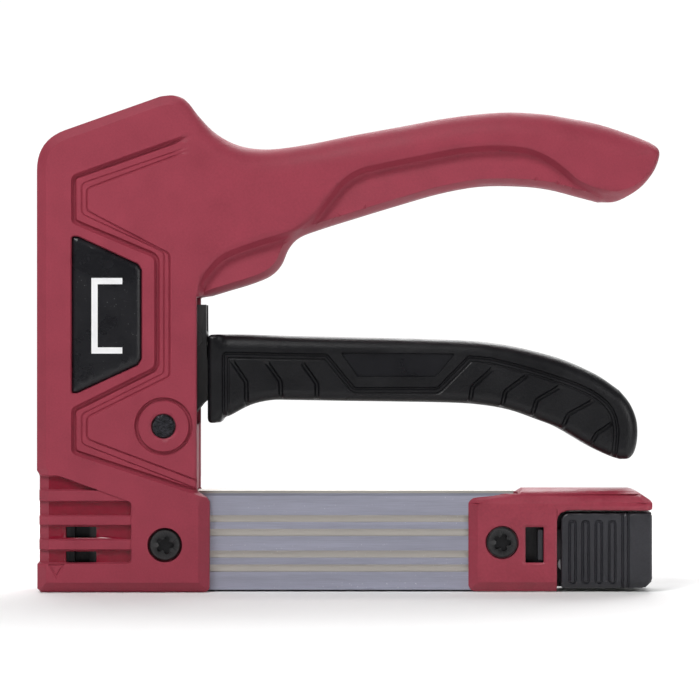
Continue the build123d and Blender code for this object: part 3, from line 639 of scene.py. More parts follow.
# ---- Housing ----
@dataclass
class Housing:
    """The two moulded halves of the body and its fixed handle, with their inlaid side plates."""

    shop: FinishShop
    body_half: float = 15.0
    handle_half: float = 12.0
    seam: float = 0.05
    shell: float = 2.0
    bevel: float = 3.0
    bevel_drop: float = 2.7
    handle_round: float = 8.5
    pivot: tuple[float, float] = (-56.7, 50.5)
    boss: tuple[float, float] = (7.6, 8.9)
    foot_screw: tuple[float, float] = (-56.3, 14.4)
    foot_screw_r: float = 5.3
    screws: tuple[tuple[float, float], ...] = ((-89.8, 118.0), (-53.8, 143.6), (-6.0, 129.4), (46.0, 136.0),
                                               (84.0, 131.0), (-52.8, 36.6))
    screw_rim: tuple[float, float] = (3.05, 4.1)
    screw_floor: float = 8.95
    screw_top: float = 10.9
    badge_depth: float = 1.3
    print_lift: float = 0.03
    print_depth: float = 0.06
    sign: tuple[float, float, float, float, float] = (-78.6, 72.6, 23.0, 9.4, 1.9)
    bars: tuple[tuple[float, float], ...] = ((27.5, 31.3), (20.2, 23.5), (12.7, 16.2))
    windows: tuple[tuple[float, float], ...] = ((16.5, 19.9), (9.1, 12.4))
    window_x: tuple[float, float] = (-86.5, -77.2)

    def outline(self) -> Points:
        """Lay out the silhouette, anticlockwise from the foot."""
        b, drop, seam = self.bevel, self.bevel_drop, self.seam
        crisp, soft = Edge.BEVEL.value, Edge.ROUND.value
        open_wall, foot_wall = 12.4, 9.1
        foot = [(-94.2, 0.0, b, drop, crisp, foot_wall), (-43.8, 0.0, b, drop, crisp, foot_wall),
                (-42.9, 0.9, b + 0.3, drop, crisp, foot_wall),
                (-42.8, 27.4, b + 0.3, drop, crisp, foot_wall),
                (-43.6, 28.7, 2.4, 2.0, crisp, foot_wall), (-46.3, 30.4, 1.4, 1.2, 0.5, foot_wall),
                (-46.6, 31.0, 0.9, 0.8, soft, foot_wall), (-46.6, 31.3, 0.9, 0.8, soft, seam),
                (-46.6, 50.8, 0.9, 0.8, soft, seam), (-46.6, 51.0, 0.9, 0.8, soft, open_wall),
                (-46.6, 89.6, 0.9, 0.8, soft, open_wall), (-46.3, 90.0, 0.9, 0.8, soft, seam)]
        under_w, under_d = 1.7, 6.0
        under = [(-42.7, 90.4), (-36.8, 92.2), (-30.2, 94.2), (-24.6, 96.6), (-21.2, 100.0), (-18.9, 105.0),
                 (-15.6, 108.4), (-9.2, 110.9), (3.1, 114.8), (15.3, 118.5), (27.6, 122.0), (39.8, 124.2),
                 (52.1, 124.3), (61.3, 123.3), (70.5, 120.9), (76.6, 119.3)]
        half_soft = 0.35
        belly = smooth_curve([(x, z, under_w, under_d, half_soft, seam) for x, z in under], 4)
        butt = smooth_curve([(76.6, 119.3, 2.6, 7.0, half_soft, seam),
                             (82.2, 119.6, 2.6, 7.0, half_soft, seam), (88.4, 123.0, 1.6, 5.4, 0.6, seam),
                             (92.6, 127.8, 1.3, 4.6, soft, seam), (94.6, 132.6, 1.6, 5.0, soft, seam),
                             (94.3, 135.4, 2.6, 5.4, soft, seam), (91.6, 137.5, 4.4, 6.6, soft, seam)], 5)
        r, d = self.handle_round, 7.6
        crest = [(85.8, 139.9), (76.6, 142.9), (67.4, 144.8), (58.2, 146.2), (46.0, 146.6), (30.6, 145.0),
                 (15.3, 142.2), (0.0, 139.4), (-12.2, 136.9), (-24.5, 135.2)]
        rise = [(-33.6, 136.2, r - 1.0, d), (-40.6, 139.6, 6.5, 6.5), (-45.6, 144.4, 5.4, 5.2),
                (-49.0, 148.8, 4.4, 4.2)]
        back = smooth_curve([(*row, soft, seam) for row in
                             [(91.6, 137.5, 5.0, 6.6)] + [(x, z, r, d) for x, z in crest] + rise], 4)
        brow = smooth_curve([(-49.0, 148.8, 4.4, 4.2, soft, seam), (-51.0, 150.5, 3.4, 3.2, 0.6, seam),
                             (-54.0, 151.3, b, drop, crisp, seam), (-57.0, 151.1, b, drop, crisp, seam)], 4)
        roof = round_corners([(-58.0, 150.9), (-95.4, 137.7), (-95.4, 37.0)], 13.0, closed=False, steps=10)
        roof = np.column_stack([roof, np.tile((b, drop, crisp, seam), (len(roof), 1))])
        front = [(-94.7, 35.9, b, drop, crisp, seam), (-94.7, 9.3, b, drop, crisp, seam),
                 (-95.3, 8.5, b, drop, crisp, seam), (-95.3, 1.1, b, drop, crisp, seam)]
        rows = np.vstack([np.array(foot), belly, butt[1:], back[1:], brow[1:], roof, np.array(front)])
        return densify(rows, 1.3)

    def badge_outline(self) -> Points:
        """The side plate's recess."""
        corners = [(-84.7, 60.4), (-82.7, 60.6), (-64.5, 69.0), (-63.3, 71.0), (-63.3, 98.2), (-64.5, 99.9),
                   (-82.5, 108.2), (-84.7, 108.4)]
        return round_corners(corners, 1.0)

    def frame_steps(self) -> list[Step]:
        """The side's sunk band: its outer groove, then two fine steps back up."""
        outer = [(-47.6, 139.9), (-84.7, 126.8), (-84.7, 112.3), (-59.4, 101.7), (-59.4, 68.6),
                 (-84.7, 56.0), (-84.7, 42.2), (-44.0, 28.9)]
        middle = [(-46.4, 136.3), (-81.6, 124.3), (-81.6, 115.0), (-56.6, 103.4), (-56.6, 66.6),
                  (-81.6, 54.1), (-81.6, 45.1), (-44.0, 30.4)]
        inner = [(-44.8, 135.9), (-80.0, 122.8), (-80.0, 116.0), (-54.9, 102.9), (-54.9, 65.7),
                 (-80.0, 53.3), (-80.0, 46.6), (-44.0, 33.0)]
        tail = ((40.0, 28.0), (40.0, 145.0))
        shapes = ((outer, 2.4, (-0.1, 0.55, 1.05, 1.6), (0.0, -1.6, -1.6, -0.75)),
                  (middle, 2.0, (-0.35, 0.0, 0.35), (0.0, -0.25, 0.25)),
                  (inner, 1.8, (-0.35, 0.0, 0.45), (0.0, -0.25, 0.5)))
        return [Step(densify(round_corners(line, radius, closed=False), 1.2, closed=False), offsets, rises,
                     tail) for line, radius, offsets, rises in shapes]

    def badge_step(self) -> Step:
        """The side plate's seat."""
        return Step(densify(self.badge_outline(), 2.0), (-0.3, -0.05, 0.1), (0.0, -0.3, -self.badge_depth))

    def vent_step(self) -> Step:
        """The sunk, barred zone low on the front, 0 outside it and 1 inside."""
        zone = round_corners([(-98.0, 8.8), (-66.5, 8.8), (-66.5, 27.4), (-88.6, 35.5), (-98.0, 35.6)], 1.3)
        return Step(densify(zone, 2.0), (-0.1, 0.3), (0.0, 1.0))

    def bar_steps(self) -> list[Step]:
        """The bars left standing in the vent zone, 0 outside them and 1 inside."""
        return [Step(rectangle(-99.0, low, -60.0, high, 0.4), (0.0, 0.4), (0.0, 1.0))
                for low, high in self.bars]

    def pointer_step(self) -> Step:
        """The small triangle that points at where the staple leaves."""
        return Step(np.array([(-91.7, 8.5), (-89.3, 4.3), (-86.9, 8.5)]), (-0.15, 0.1, 0.4, 0.6),
                    (0.0, -0.35, -0.35, -0.1))

    def crest_step(self) -> Step:
        """The flowing, undercut-looking step from the handle's crest down to its grip panel."""
        return Step(self.crest_line(), (-0.9, -0.2, 0.4, 0.9, 1.5, 2.3, 5.0, 11.0),
                    (0.0, -0.3, -1.2, -2.6, -3.3, -3.5, -2.9, -1.9),
                    ((110.0, 126.0), (110.0, 60.0), (-47.4, 60.0)), -1.0)

    def crest_line(self) -> Points:
        """The flowing step between the handle's crest and its grip panel."""
        return smooth_curve([(-47.4, 89.0), (-46.2, 94.0), (-43.0, 98.6), (-38.5, 102.8), (-30.0, 106.2),
                             (-22.8, 108.4), (-16.6, 110.6), (-11.4, 114.4), (-6.8, 120.2), (-2.4, 125.4),
                             (3.0, 128.8), (9.4, 130.4), (21.1, 132.8), (34.8, 135.3), (45.9, 135.9),
                             (54.2, 135.0), (60.4, 132.6), (65.6, 128.9), (69.4, 125.6), (74.0, 123.4),
                             (80.0, 122.0), (85.0, 121.9), (90.5, 123.6), (93.5, 126.6)], 4)

    def thickness(self, points: Points) -> np.ndarray:
        """Half thickness before edges and details: the body is thicker than the handle."""
        thin = ease(points[:, 0], -48.0, 4.0)
        return self.body_half - (self.body_half - self.handle_half) * thin

    def carve(self, points: Points, height: np.ndarray) -> np.ndarray:
        """Sink the side's details into the plain form."""
        x, z = points[:, 0], points[:, 1]
        fade = np.where(z > 90, 1 - ease(x, -54.5, -47.5), 1.0) * (x < -40)
        away = np.hypot(x - self.pivot[0], z - self.pivot[1])
        fade = fade * (away > self.boss[1])
        for step in self.frame_steps():
            height = height + fade * step.rise(points)
        height = height + self.crest_step().rise(points) * ease(x, -46.7, -44.5)
        height = height + self.badge_step().rise(points) + self.pointer_step().rise(points)
        # ring round the lever's pivot
        inner, outer = self.boss
        ring = np.interp(away, (inner, inner + 0.35, outer - 0.4, outer), (0.0, -0.95, -0.95, 0.0))
        height = height + ring
        # counterbore for the foot screw
        away = np.hypot(x - self.foot_screw[0], z - self.foot_screw[1])
        height = np.where(away < self.foot_screw_r - 0.02, np.minimum(height, self.body_half - 2.3), height)
        # vent zone, with its bars left standing a little below the side
        bars = np.max([step.rise(points) for step in self.bar_steps()], axis=0)
        return height - self.vent_step().rise(points) * (1.7 - 1.3 * bars)

    def carve_screwed_side(self, points: Points, height: np.ndarray) -> np.ndarray:
        """Sink the details of the side that the screws go in from, with a collar round each screw."""
        height = self.carve(points, height)
        inner, outer = self.screw_rim
        for x, z in self.screws:
            away = np.hypot(points[:, 0] - x, points[:, 1] - z)
            height = np.where(away < outer, np.maximum(height, self.screw_top), height)
            height = np.where(away < inner, self.screw_floor, height)
        return height

    def screw_lines(self) -> list[tuple[Points, bool]]:
        """The circles round the screws."""
        inner, outer = self.screw_rim
        return [(circle(x, z, radius, 36), True) for x, z in self.screws
                for radius in (inner - 0.02, inner + 0.06, outer, outer + 0.2)]

    def lines(self) -> list[tuple[Points, bool]]:
        """Every crease that the mesh has to follow."""
        steps = self.frame_steps() + [self.badge_step(), self.vent_step(), self.pointer_step(),
                                      self.crest_step()] + self.bar_steps()
        found = [line for step in steps for line in step.lines()]
        inner, outer = self.boss
        for radius in (inner, inner + 0.35, outer - 0.4, outer):
            found.append((circle(*self.pivot, radius, 64), True))
        for radius in (self.foot_screw_r, self.foot_screw_r - 0.05):
            found.append((circle(*self.foot_screw, radius, 48), True))
        return found + self._bevel_lines()

    def _bevel_lines(self) -> list[tuple[Points, bool]]:
        """The inner edge of the crisp bevel, one line for each unbroken stretch."""
        rows = self.outline()
        toward = shifted(rows, 1.0) - rows[:, :2]
        edge = rows[:, :2] + toward * rows[:, 2:3]
        crisp = (rows[:, 4] == Edge.BEVEL.value) & (edge[:, 0] < -45)
        found, run = [], []
        for point, wanted in zip(edge, crisp):
            if run and (not wanted or np.linalg.norm(point - run[-1]) > 8):
                found.append((np.array(run), False))
                run = []
            if wanted:
                run.append(point)
        return [(line, closed) for line, closed in found + [(np.array(run), False)] if len(line) > 2]

    def window_holes(self) -> list[Points]:
        """The two slots through the vent zone, the pin hole and the foot screw's hole."""
        x1, x2 = self.window_x
        slots = [rectangle(x1, low, x2, high, 0.3) for low, high in self.windows]
        return slots + [circle(*self.pivot, 3.75, 48), circle(*self.foot_screw, 4.0, 32)]

    def glossy(self, middle: Points) -> np.ndarray:
        """Faces in the polished bands between the vent bars."""
        x, z = middle[:, 0], middle[:, 1]
        band = self.vent_step().rise(middle) > 0.9
        for low, high in self.bars:
            band &= ~((z > low - 0.05) & (z < high + 0.05))
        return band & (x > -91.6)

    def build(self) -> None:
        """Make both halves and both side plates."""
        shape = (self.outline(), self.thickness, 1.4)
        plain = Relief(*shape, self.lines(), self.window_holes(), self.carve)
        screwed = Relief(*shape, self.lines() + self.screw_lines(), self.window_holes(),
                         self.carve_screwed_side)
        for side, mirrored, relief in (("left", False, plain), ("right", True, screwed)):
            half = relief.build(f"shell_{side}", mirrored=mirrored, gloss=self.glossy)
            half.data.materials.append(self.shop.get(HOUSING_RED))
            half.data.materials.append(self.shop.get(VENT_RED))
            thicken(half, self.shell)
            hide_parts(f"housing_{side}")
            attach(half, "housing")
            tell(half)
            self._badge(side, mirrored)

    def _badge(self, side: str, mirrored: bool) -> None:
        """Make one inlaid side plate: crowned, with a rolled edge and a plain printed staple sign."""
        rim = densify(shifted(self.badge_outline(), 0.12), 1.2)
        top = self.body_half - 0.15
        rows = np.column_stack([rim, np.tile((1.5, 1.1, 0.6, 13.5), (len(rim), 1))])
        plate = Relief(rows, lambda p: np.full(len(p), top), 2.2).build(f"side_plate_{side}", mirrored)
        plate.data.materials.append(self.shop.get(BADGE_BLACK))
        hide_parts(f"badge_{side}")
        bm = bmesh.new()
        x, z, reach, legs, line = self.sign
        corners = ((x, z), (x + legs, z), (x + legs, z + line), (x + line, z + line),
                   (x + line, z + reach - line), (x + legs, z + reach - line), (x + legs, z + reach),
                   (x, z + reach))
        front = -(top + self.print_lift) * MM
        face = bm.faces.new([bm.verts.new((px * MM, front, pz * MM)) for px, pz in corners])
        grown = bmesh.ops.extrude_face_region(bm, geom=[face])["geom"]
        bmesh.ops.translate(bm, vec=(0, self.print_depth * MM, 0), verts=only_verts(grown))
        if mirrored:
            bmesh.ops.scale(bm, vec=(1, -1, 1), verts=bm.verts[:])
        bmesh.ops.recalc_face_normals(bm, faces=bm.faces[:])
        print_on = link_mesh(bm, f"staple_sign_{side}")
        print_on.data.materials.append(self.shop.get(BADGE_WHITE))
        for piece in (plate, print_on):
            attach(piece, "housing")
            tell(piece)


# ---- Lever grip ----
@dataclass
class LeverGrip:
    """The moulded grip over the lever, with its line border, finger ribs and polished inlay."""

    shop: FinishShop
    half: float = 11.0
    rib_depth: float = 0.75

    def outline(self) -> Points:
        """Lay out the grip's silhouette, anticlockwise from its front lower tip."""
        soft = Edge.ROUND.value
        low, high = (3.0, 3.0), (4.6, 4.2)
        sole = smooth_curve([(-39.6, 51.6), (-38.3, 53.1), (-36.4, 53.8), (-30.4, 56.9), (-24.4, 58.3),
                             (-18.3, 58.4), (0.0, 58.1), (15.2, 57.9), (30.4, 57.6), (39.6, 57.0),
                             (48.7, 55.4), (57.8, 52.2), (64.0, 49.7), (73.0, 44.4), (79.2, 41.4),
                             (82.6, 40.3)], 4)
        heel = smooth_curve([(82.6, 40.3), (85.4, 40.6), (87.2, 43.0), (88.0, 47.6), (87.6, 52.6),
                             (85.6, 57.4), (82.4, 61.4)], 4)
        crown = smooth_curve([(82.4, 61.4), (76.4, 65.6), (70.2, 68.7), (64.2, 71.1), (58.0, 72.9),
                              (51.8, 74.4), (45.8, 75.5), (36.6, 76.5), (18.0, 77.2), (0.0, 77.6),
                              (-18.3, 78.0), (-30.4, 78.4), (-40.0, 78.5)], 4)
        nose = round_corners([(-40.0, 78.5), (-43.5, 78.4), (-43.5, 51.2), (-39.6, 51.6)], 2.6,
                             closed=False)
        rows = []
        for part, (width, drop) in ((sole, low), (heel, (3.4, 3.4)), (crown, high), (nose, (1.8, 1.6))):
            rows.append(np.column_stack([part[:-1], np.tile((width, drop, soft, 0.0), (len(part) - 1, 1))]))
        return densify(np.vstack(rows), 1.3)

    def border(self) -> Points:
        """The raised step that runs round inside the grip's edge."""
        front = round_corners([(-38.9, 51.5), (-38.9, 73.0), (-7.0, 72.4), (1.4, 62.2), (26.6, 62.2),
                               (36.2, 71.9), (43.0, 71.3)], 1.4, closed=False)
        rear = smooth_curve([(43.0, 71.3), (55.0, 68.2), (68.5, 63.8), (76.0, 60.0), (80.4, 55.4),
                             (82.0, 49.0), (81.2, 40.0)], 5)
        return densify(np.vstack([front, rear[1:]]), 1.2, closed=False)

    def ribs(self) -> list[Points]:
        """The bent finger ribs, from the inner end to the lower edge."""
        front = [[(-35.6, 69.7), (-31.7, 64.0), (-31.5, 52.0)],
                 [(-25.0, 69.4), (-21.2, 64.0), (-21.0, 55.0)],
                 [(-14.2, 69.2), (-10.1, 63.4), (-10.0, 55.0)]]
        rear = [[(43.1, 67.6), (37.4, 62.5), (36.0, 54.0)], [(53.6, 65.6), (47.5, 61.1), (45.6, 53.0)],
                [(63.5, 62.2), (57.0, 58.4), (54.8, 51.0)], [(73.4, 57.7), (66.6, 54.0), (63.6, 47.0)],
                [(79.6, 51.0), (75.4, 48.2), (71.8, 42.0)]]
        return [densify(round_corners(line, 2.0, closed=False), 1.0, closed=False) for line in front + rear]

    def inlay(self) -> Points:
        """The polished trapezoid sunk between the two ribbed stretches."""
        return round_corners([(2.3, 65.6), (26.4, 65.6), (32.1, 72.6), (-2.9, 72.9)], 0.5, steps=2)

    def border_step(self) -> Step:
        """The double line inside the grip's edge, and the field that it sinks to."""
        return Step(self.border(), (-0.25, 0.1, 0.45, 0.8, 1.35, 1.6, 1.9, 2.2),
                    (0.0, -0.6, -0.6, -0.15, -0.15, -0.55, -0.55, -0.35),
                    ((81.0, 30.0), (-38.9, 30.0)), -1.0)

    def inlay_step(self) -> Step:
        """The edge of the polished inlay."""
        return Step(densify(self.inlay(), 2.0), (-0.1, 0.3), (0.0, -0.55))

    def carve(self, points: Points, height: np.ndarray) -> np.ndarray:
        """Sink the field, the inlay and the ribs."""
        border = self.border_step()
        field_in = border.depth(points)
        height = height + border.rise(points) + self.inlay_step().rise(points)
        for rib in self.ribs():
            away = distance(points, rib, closed=False)
            cut = np.interp(away, (0.0, 0.25, 0.8), (self.rib_depth, self.rib_depth, 0.0))
            height = height - cut * (field_in > 0.9)
        return height

    def lines(self) -> list[tuple[Points, bool]]:
        """Every crease that the mesh has to follow."""
        found = self.border_step().lines() + self.inlay_step().lines()
        for rib in self.ribs():
            for offset in (-0.8, -0.25, 0.25, 0.8):
                found.append((shifted(rib, offset, closed=False), False))
        return found

    def build(self) -> None:
        """Make the grip as one closed body."""
        relief = Relief(self.outline(), lambda p: np.full(len(p), self.half), 1.3, self.lines(), [],
                        self.carve)
        inlay = self.inlay()
        grip = relief.build("grip_moulding", both=True, gloss=lambda p: depth_inside(p, inlay) > 0.2)
        grip.data.materials.append(self.shop.get(GRIP_BLACK))
        grip.data.materials.append(self.shop.get(GRIP_GLOSS))
        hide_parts("lever_grip")
        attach(grip, "lever")
        tell(grip)


# ---- Tail cap and latch ----
@dataclass
class TailCap:
    """The moulded cap on the magazine's tail, with its bevelled frame, hook window and open roof end."""

    shop: FinishShop
    screw: tuple[float, float] = (46.4, 15.0)
    seat_r: float = 5.1
    seat_height: float = 10.1
    side_wall: float = 9.1
    shell: float = 1.9
    window: tuple[float, float, float, float] = (53.5, 8.8, 59.1, 19.7)
    ledges: tuple[float, ...] = (26.8, 29.4, 30.4)

    def outline(self) -> Points:
        """Lay out the cap's silhouette, anticlockwise from the foot."""
        crisp, soft = Edge.BEVEL.value, Edge.ROUND.value
        wall = self.side_wall
        lip = (0.7, 0.5, soft)
        rows = [(38.0, 0.0, 2.9, 2.3, crisp, wall), (63.1, 0.0, 2.9, 2.3, crisp, wall)]
        rows += [(x, z, *lip, wall) for x, z in ((63.15, 0.6), (63.15, 21.4), (63.5, 22.9), (64.4, 24.0))]
        rows += [(x, z, *lip, 0.0) for x, z in ((65.8, 24.6), (67.4, 24.8), (91.4, 24.7))]
        rows += [(92.3, 25.1, 1.0, 0.8, crisp, 0.0), (92.4, 26.9, 1.4, 1.1, crisp, 0.0),
                 (91.8, 27.8, 2.0, 1.5, crisp, 0.0), (87.6, 30.6, 1.0, 0.6, crisp, 0.0),
                 (86.0, 31.1, 0.5, 0.3, crisp, 0.0), (53.0, 31.1, 0.5, 0.3, crisp, 0.0),
                 (51.6, 30.0, 0.5, 0.3, crisp, 0.0), (51.4, 29.8, 0.5, 0.3, crisp, wall)]
        rows += [(x, z, 2.7, 2.3, crisp, wall) for x, z in ((38.4, 29.8), (36.8, 29.2), (36.2, 27.8),
                                                            (36.2, 1.8), (36.8, 0.5))]
        return densify(np.array(rows), 1.3)

    @staticmethod
    def crown(points: Points) -> np.ndarray:
        """Half thickness: flat sides, then a bevel, then a crowned roof."""
        return np.interp(points[:, 1], (26.8, 29.4, 30.4, 31.1), (11.5, 9.7, 8.4, 5.6))

    def carve(self, points: Points, height: np.ndarray) -> np.ndarray:
        """Sink the screw's seat."""
        away = np.hypot(points[:, 0] - self.screw[0], points[:, 1] - self.screw[1])
        return np.where(away < self.seat_r - TINY, np.minimum(height, self.seat_height), height)

    def build(self) -> None:
        """Make the cap."""
        ledge = [(np.array([(36.9, z), (52.0, z), (91.0, z)]), False) for z in self.ledges]
        rings = [(circle(*self.screw, radius, 48), True) for radius in (self.seat_r, self.seat_r - 0.05)]
        inner = rectangle(38.9, 2.9, 63.1, 26.8, 1.2, steps=4)
        holes = [rectangle(*self.window, 0.3), circle(*self.screw, 3.6, 32)]
        relief = Relief(self.outline(), self.crown, 1.5, ledge + rings + [(inner, True)], holes, self.carve)
        cap = relief.build("cap_moulding", both=True)
        cap.data.materials.append(self.shop.get(CAP_RED))
        thicken(cap, self.shell)
        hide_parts("tail_cap")
        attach(cap, "housing")
        tell(cap)


@dataclass
class LatchArms:
    """The two ribbed, squeezable cheeks of the magazine latch, each with its tongue and hook."""

    shop: FinishShop
    face: float = 11.0
    shell: float = 1.6
    corner: tuple[float, float] = (66.9, 21.4)
    corner_r: float = 2.4
    rib_starts: tuple[float, ...] = (67.0, 71.0, 75.0, 79.1)
    rib_width: float = 1.8
    rib_z: tuple[float, float] = (2.6, 21.4)
    line_x: tuple[float, float] = (83.2, 84.9)

    def outline(self) -> Points:
        """Lay out one cheek's silhouette, anticlockwise."""
        corners = [(64.5, 1.0), (89.4, 1.0), (92.2, 3.6), (92.2, 23.8), (64.5, 23.8)]
        rim = densify(round_corners(corners, 0.9), 1.2)
        top_left = (rim[:, 0] < 65.6) & (rim[:, 1] > 22.7)
        arc = circle(*self.corner, self.corner_r, 64)
        arc = arc[(arc[:, 0] <= self.corner[0]) & (arc[:, 1] >= self.corner[1])]
        first = int(np.argmax(top_left))
        rim = np.vstack([rim[:first], arc[np.argsort(-arc[:, 0])], rim[first + int(top_left.sum()):]])
        low = rim[:, 1] < 1.2
        width, drop = np.where(low, 2.0, 0.8), np.where(low, 1.4, 0.5)
        return np.column_stack([rim, width, drop, np.where(low, 0.0, 1.0), np.full(len(rim), 8.9)])

    def steps(self) -> list[Step]:
        """The ribs, each standing in a fine groove."""
        shapes = [(x, x + self.rib_width, *self.rib_z) for x in self.rib_starts]
        shapes.append((*self.line_x, -3.0, 27.0))
        return [Step(densify(rectangle(x1, z1, x2, z2, 0.85, steps=5), 2.0), (-0.45, -0.15, 0.05, 0.45),
                     (0.0, -0.4, -0.4, 0.25)) for x1, x2, z1, z2 in shapes]

    def carve(self, points: Points, height: np.ndarray) -> np.ndarray:
        """Raise the ribs out of their grooves."""
        return height + sum(step.rise(points) for step in self.steps())

    def build(self) -> None:
        """Make both cheeks."""
        lines = [line for step in self.steps() for line in step.lines()]
        relief = Relief(self.outline(), lambda p: np.full(len(p), self.face), 1.5, lines, [],
                        self.carve)
        for side, mirrored in (("left", False), ("right", True)):
            arm = relief.build(f"latch_cheek_{side}", mirrored=mirrored)
            bm = bmesh.new()
            box_piece(bm, (57.3, 7.2, 9.6), (72.0, 8.8, 18.9))
            box_piece(bm, (57.3, 8.6, 9.6), (58.9, 10.9, 18.9))
            if not mirrored:
                bmesh.ops.scale(bm, vec=(1, -1, 1), verts=bm.verts[:])
                bmesh.ops.reverse_faces(bm, faces=bm.faces[:])
            tongue = link_mesh(bm, f"latch_tongue_{side}")
            thicken(arm, self.shell)
            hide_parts(f"latch_arm_{side}")
            for piece in (arm, tongue):
                piece.data.materials.append(self.shop.get(LATCH_BLACK))
                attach(piece, f"latch_{side}")
                tell(piece)


# ---- Springs ----
@dataclass(frozen=True)
class Coil:
    """A round-wire compression spring, swept at one fixed length.

    kept_end is the place along its axis of the end that stays with its body, and travel the joint's full
    stroke; neither is used.
    """

    node: str
    body: str
    joint: str
    start: tuple[float, float, float]
    along_x: bool
    radius: float
    wire_r: float
    turns: int
    length: float
    travel: float
    kept_end: float

    def build(self, shop: FinishShop) -> None:
        """Sweep the wire, lay it along its axis, and attach it to its body."""
        steps = self.turns * 20
        rise = (self.length - 2 * self.wire_r) / steps
        bm = bmesh.new()
        ring = bmesh.ops.create_circle(bm, cap_ends=True, radius=self.wire_r * MM, segments=10)["verts"]
        bmesh.ops.rotate(bm, verts=ring, cent=(0, 0, 0), matrix=Matrix.Rotation(math.pi / 2, 3, "X"))
        bmesh.ops.translate(bm, verts=ring, vec=(self.radius * MM, 0, self.wire_r * MM))
        bmesh.ops.spin(bm, geom=bm.faces[:] + bm.edges[:] + bm.verts[:], cent=(0, 0, 0), axis=(0, 0, 1),
                       dvec=(0, 0, rise * MM), angle=2 * math.pi * self.turns, steps=steps)
        if self.along_x:
            bmesh.ops.rotate(bm, verts=bm.verts[:], cent=(0, 0, 0),
                             matrix=Matrix.Rotation(math.pi / 2, 3, "Y"))
        bmesh.ops.translate(bm, verts=bm.verts[:], vec=[v * MM for v in self.start])
        bmesh.ops.recalc_face_normals(bm, faces=bm.faces[:])
        coil = link_mesh(bm, f"{self.node}_coil")
        coil.data.materials.append(shop.get(SPRING_WIRE))
        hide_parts(self.node)
        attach(coil, self.body)
        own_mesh(coil)
        tell(coil)


COILS = (
    Coil(node="drive_spring", body="hammer", joint="hammer_lift", start=(-79.0, 0.0, 97.2), along_x=False,
         radius=6.6, wire_r=1.0, turns=8, length=36.6, travel=13.9, kept_end=97.2),
    Coil(node="pusher_spring", body="core", joint="pusher_travel", start=(-65.4, 0.0, 20.5), along_x=True,
         radius=2.6, wire_r=0.3, turns=42, length=125.4, travel=95.0, kept_end=60.0),
)


# ---- Carried-over nodes ----
@dataclass
class CadParts:
    """The metal and small moulded parts that keep their CAD shape."""

    shop: FinishShop

    def dress(self) -> None:
        """Give each carried-over node its finish."""
        for name, finish in NODE_FINISHES.items():
            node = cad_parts[name]
            node.data.materials.clear()
            node.data.materials.append(self.shop.get(finish))
            log.info("%s: %s", name, finish.name)


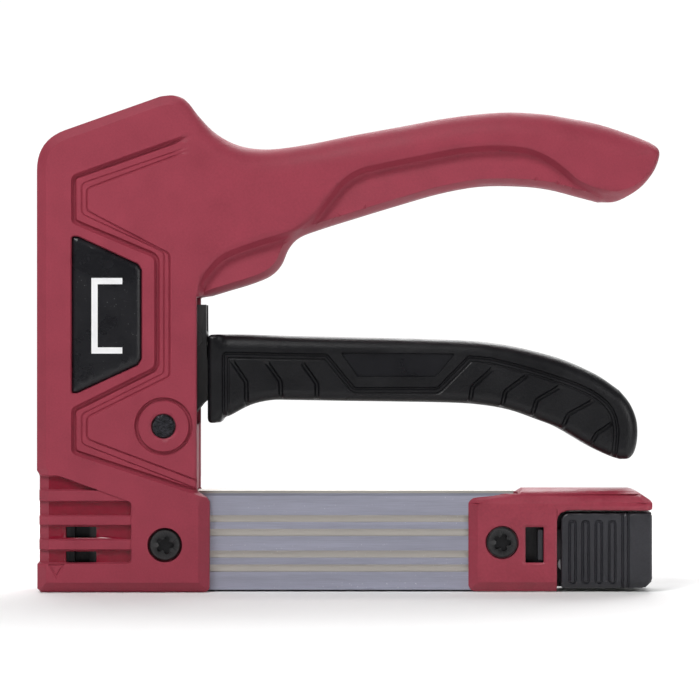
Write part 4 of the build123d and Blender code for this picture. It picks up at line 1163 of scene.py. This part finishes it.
# ---- Stage ----
@dataclass
class Stage:
    """Pale floor, soft studio light and the camera."""

    distance: float = 1.0
    eye_height: float = 0.0737
    lens: float = 166.7
    floor_half: float = 0.6
    backdrop_from: float = 0.1
    backdrop_to: float = 0.95
    backdrop_level: float = 1.05
    below_range: tuple[float, float] = (-0.06, -0.16)
    room_level: float = 0.1

    def floor(self) -> None:
        """A plain pale floor."""
        bm = bmesh.new()
        bmesh.ops.create_grid(bm, x_segments=1, y_segments=1, size=self.floor_half)
        bmesh.ops.translate(bm, vec=(0, 0, -0.0002), verts=bm.verts[:])
        ground = link_mesh(bm, "floor")
        paper = Finish("floor_white_paper", "#F0F0F0", 0.8, grain_mm=3.0, grain_rise_mm=0.0, mottle=0.0)
        ground.data.materials.append(paper.make())

    def light(self, name: str, place: tuple[float, float, float], size: float, power: float,
              straight_down: bool = False) -> None:
        """Add one square soft light.

        Args:
            name: The light's name.
            place: Where it hangs, in metres.
            size: Its side, in metres.
            power: Its power, in watts.
            straight_down: Face the floor instead of the middle of the tool.
        """
        lamp = bpy.data.lights.new(name, "AREA")
        lamp.size = size
        lamp.energy = power
        made = bpy.data.objects.new(name, lamp)
        made.location = place
        aim = Vector((0, 0, -1)) if straight_down else Vector((0, 0, self.eye_height)) - Vector(place)
        made.rotation_euler = aim.to_track_quat("-Z", "Y").to_euler()
        bpy.context.scene.collection.objects.link(made)

    def studio(self) -> bpy.types.World:
        """A white backdrop on the +Y side and below the floor's edge, in an otherwise dim room."""
        world = bpy.data.worlds.new("studio")
        world.use_nodes = True
        place = add_node(world, "ShaderNodeTexCoord").outputs["Generated"]
        parts = add_node(world, "ShaderNodeSeparateXYZ", links={0: place}).outputs
        behind = map_range(world, parts["Y"], self.backdrop_from, self.backdrop_to, smooth=True)
        below = map_range(world, parts["Z"], *self.below_range, smooth=True)
        most = add_node(world, "ShaderNodeMath", {"operation": "MAXIMUM"}, links={0: behind, 1: below})
        level = map_range(world, most.outputs[0], 0.0, 1.0, self.room_level, self.backdrop_level)
        back = world.node_tree.nodes["Background"]
        back.inputs[0].default_value = (1.0, 1.0, 1.0, 1.0)
        world.node_tree.links.new(level, back.inputs[1])
        return world

    def build(self) -> None:
        """Set the floor, lights, world and camera."""
        scene = bpy.context.scene
        self.floor()
        self.light("key", (-0.45, -0.7, 0.95), 0.45, 10.6)
        self.light("fill", (0.85, -0.8, 0.4), 0.6, 4.0)
        self.light("rim", (0.2, 0.8, 0.8), 0.6, 4.0)
        self.light("wash", (0.0, 0.6, 0.7), 0.8, 5.0, straight_down=True)
        scene.world = self.studio()
        scene.view_settings.view_transform = "Standard"
        camera = bpy.data.cameras.new("camera")
        camera.lens = self.lens
        camera.sensor_width = 36.0
        camera.clip_end = 20.0
        eye = bpy.data.objects.new("camera", camera)
        eye.location = (0.0, -self.distance, self.eye_height)
        eye.rotation_euler = (math.radians(90), 0, 0)
        scene.collection.objects.link(eye)
        scene.camera = eye


def main() -> None:
    """Build the tool and its stage in order."""
    logging.basicConfig(level=logging.INFO, format="%(message)s")
    shop = FinishShop()
    CadParts(shop).dress()
    Housing(shop).build()
    LeverGrip(shop).build()
    TailCap(shop).build()
    LatchArms(shop).build()
    for coil in COILS:
        coil.build(shop)
    Stage().build()


if __name__ == "__main__":
    main()
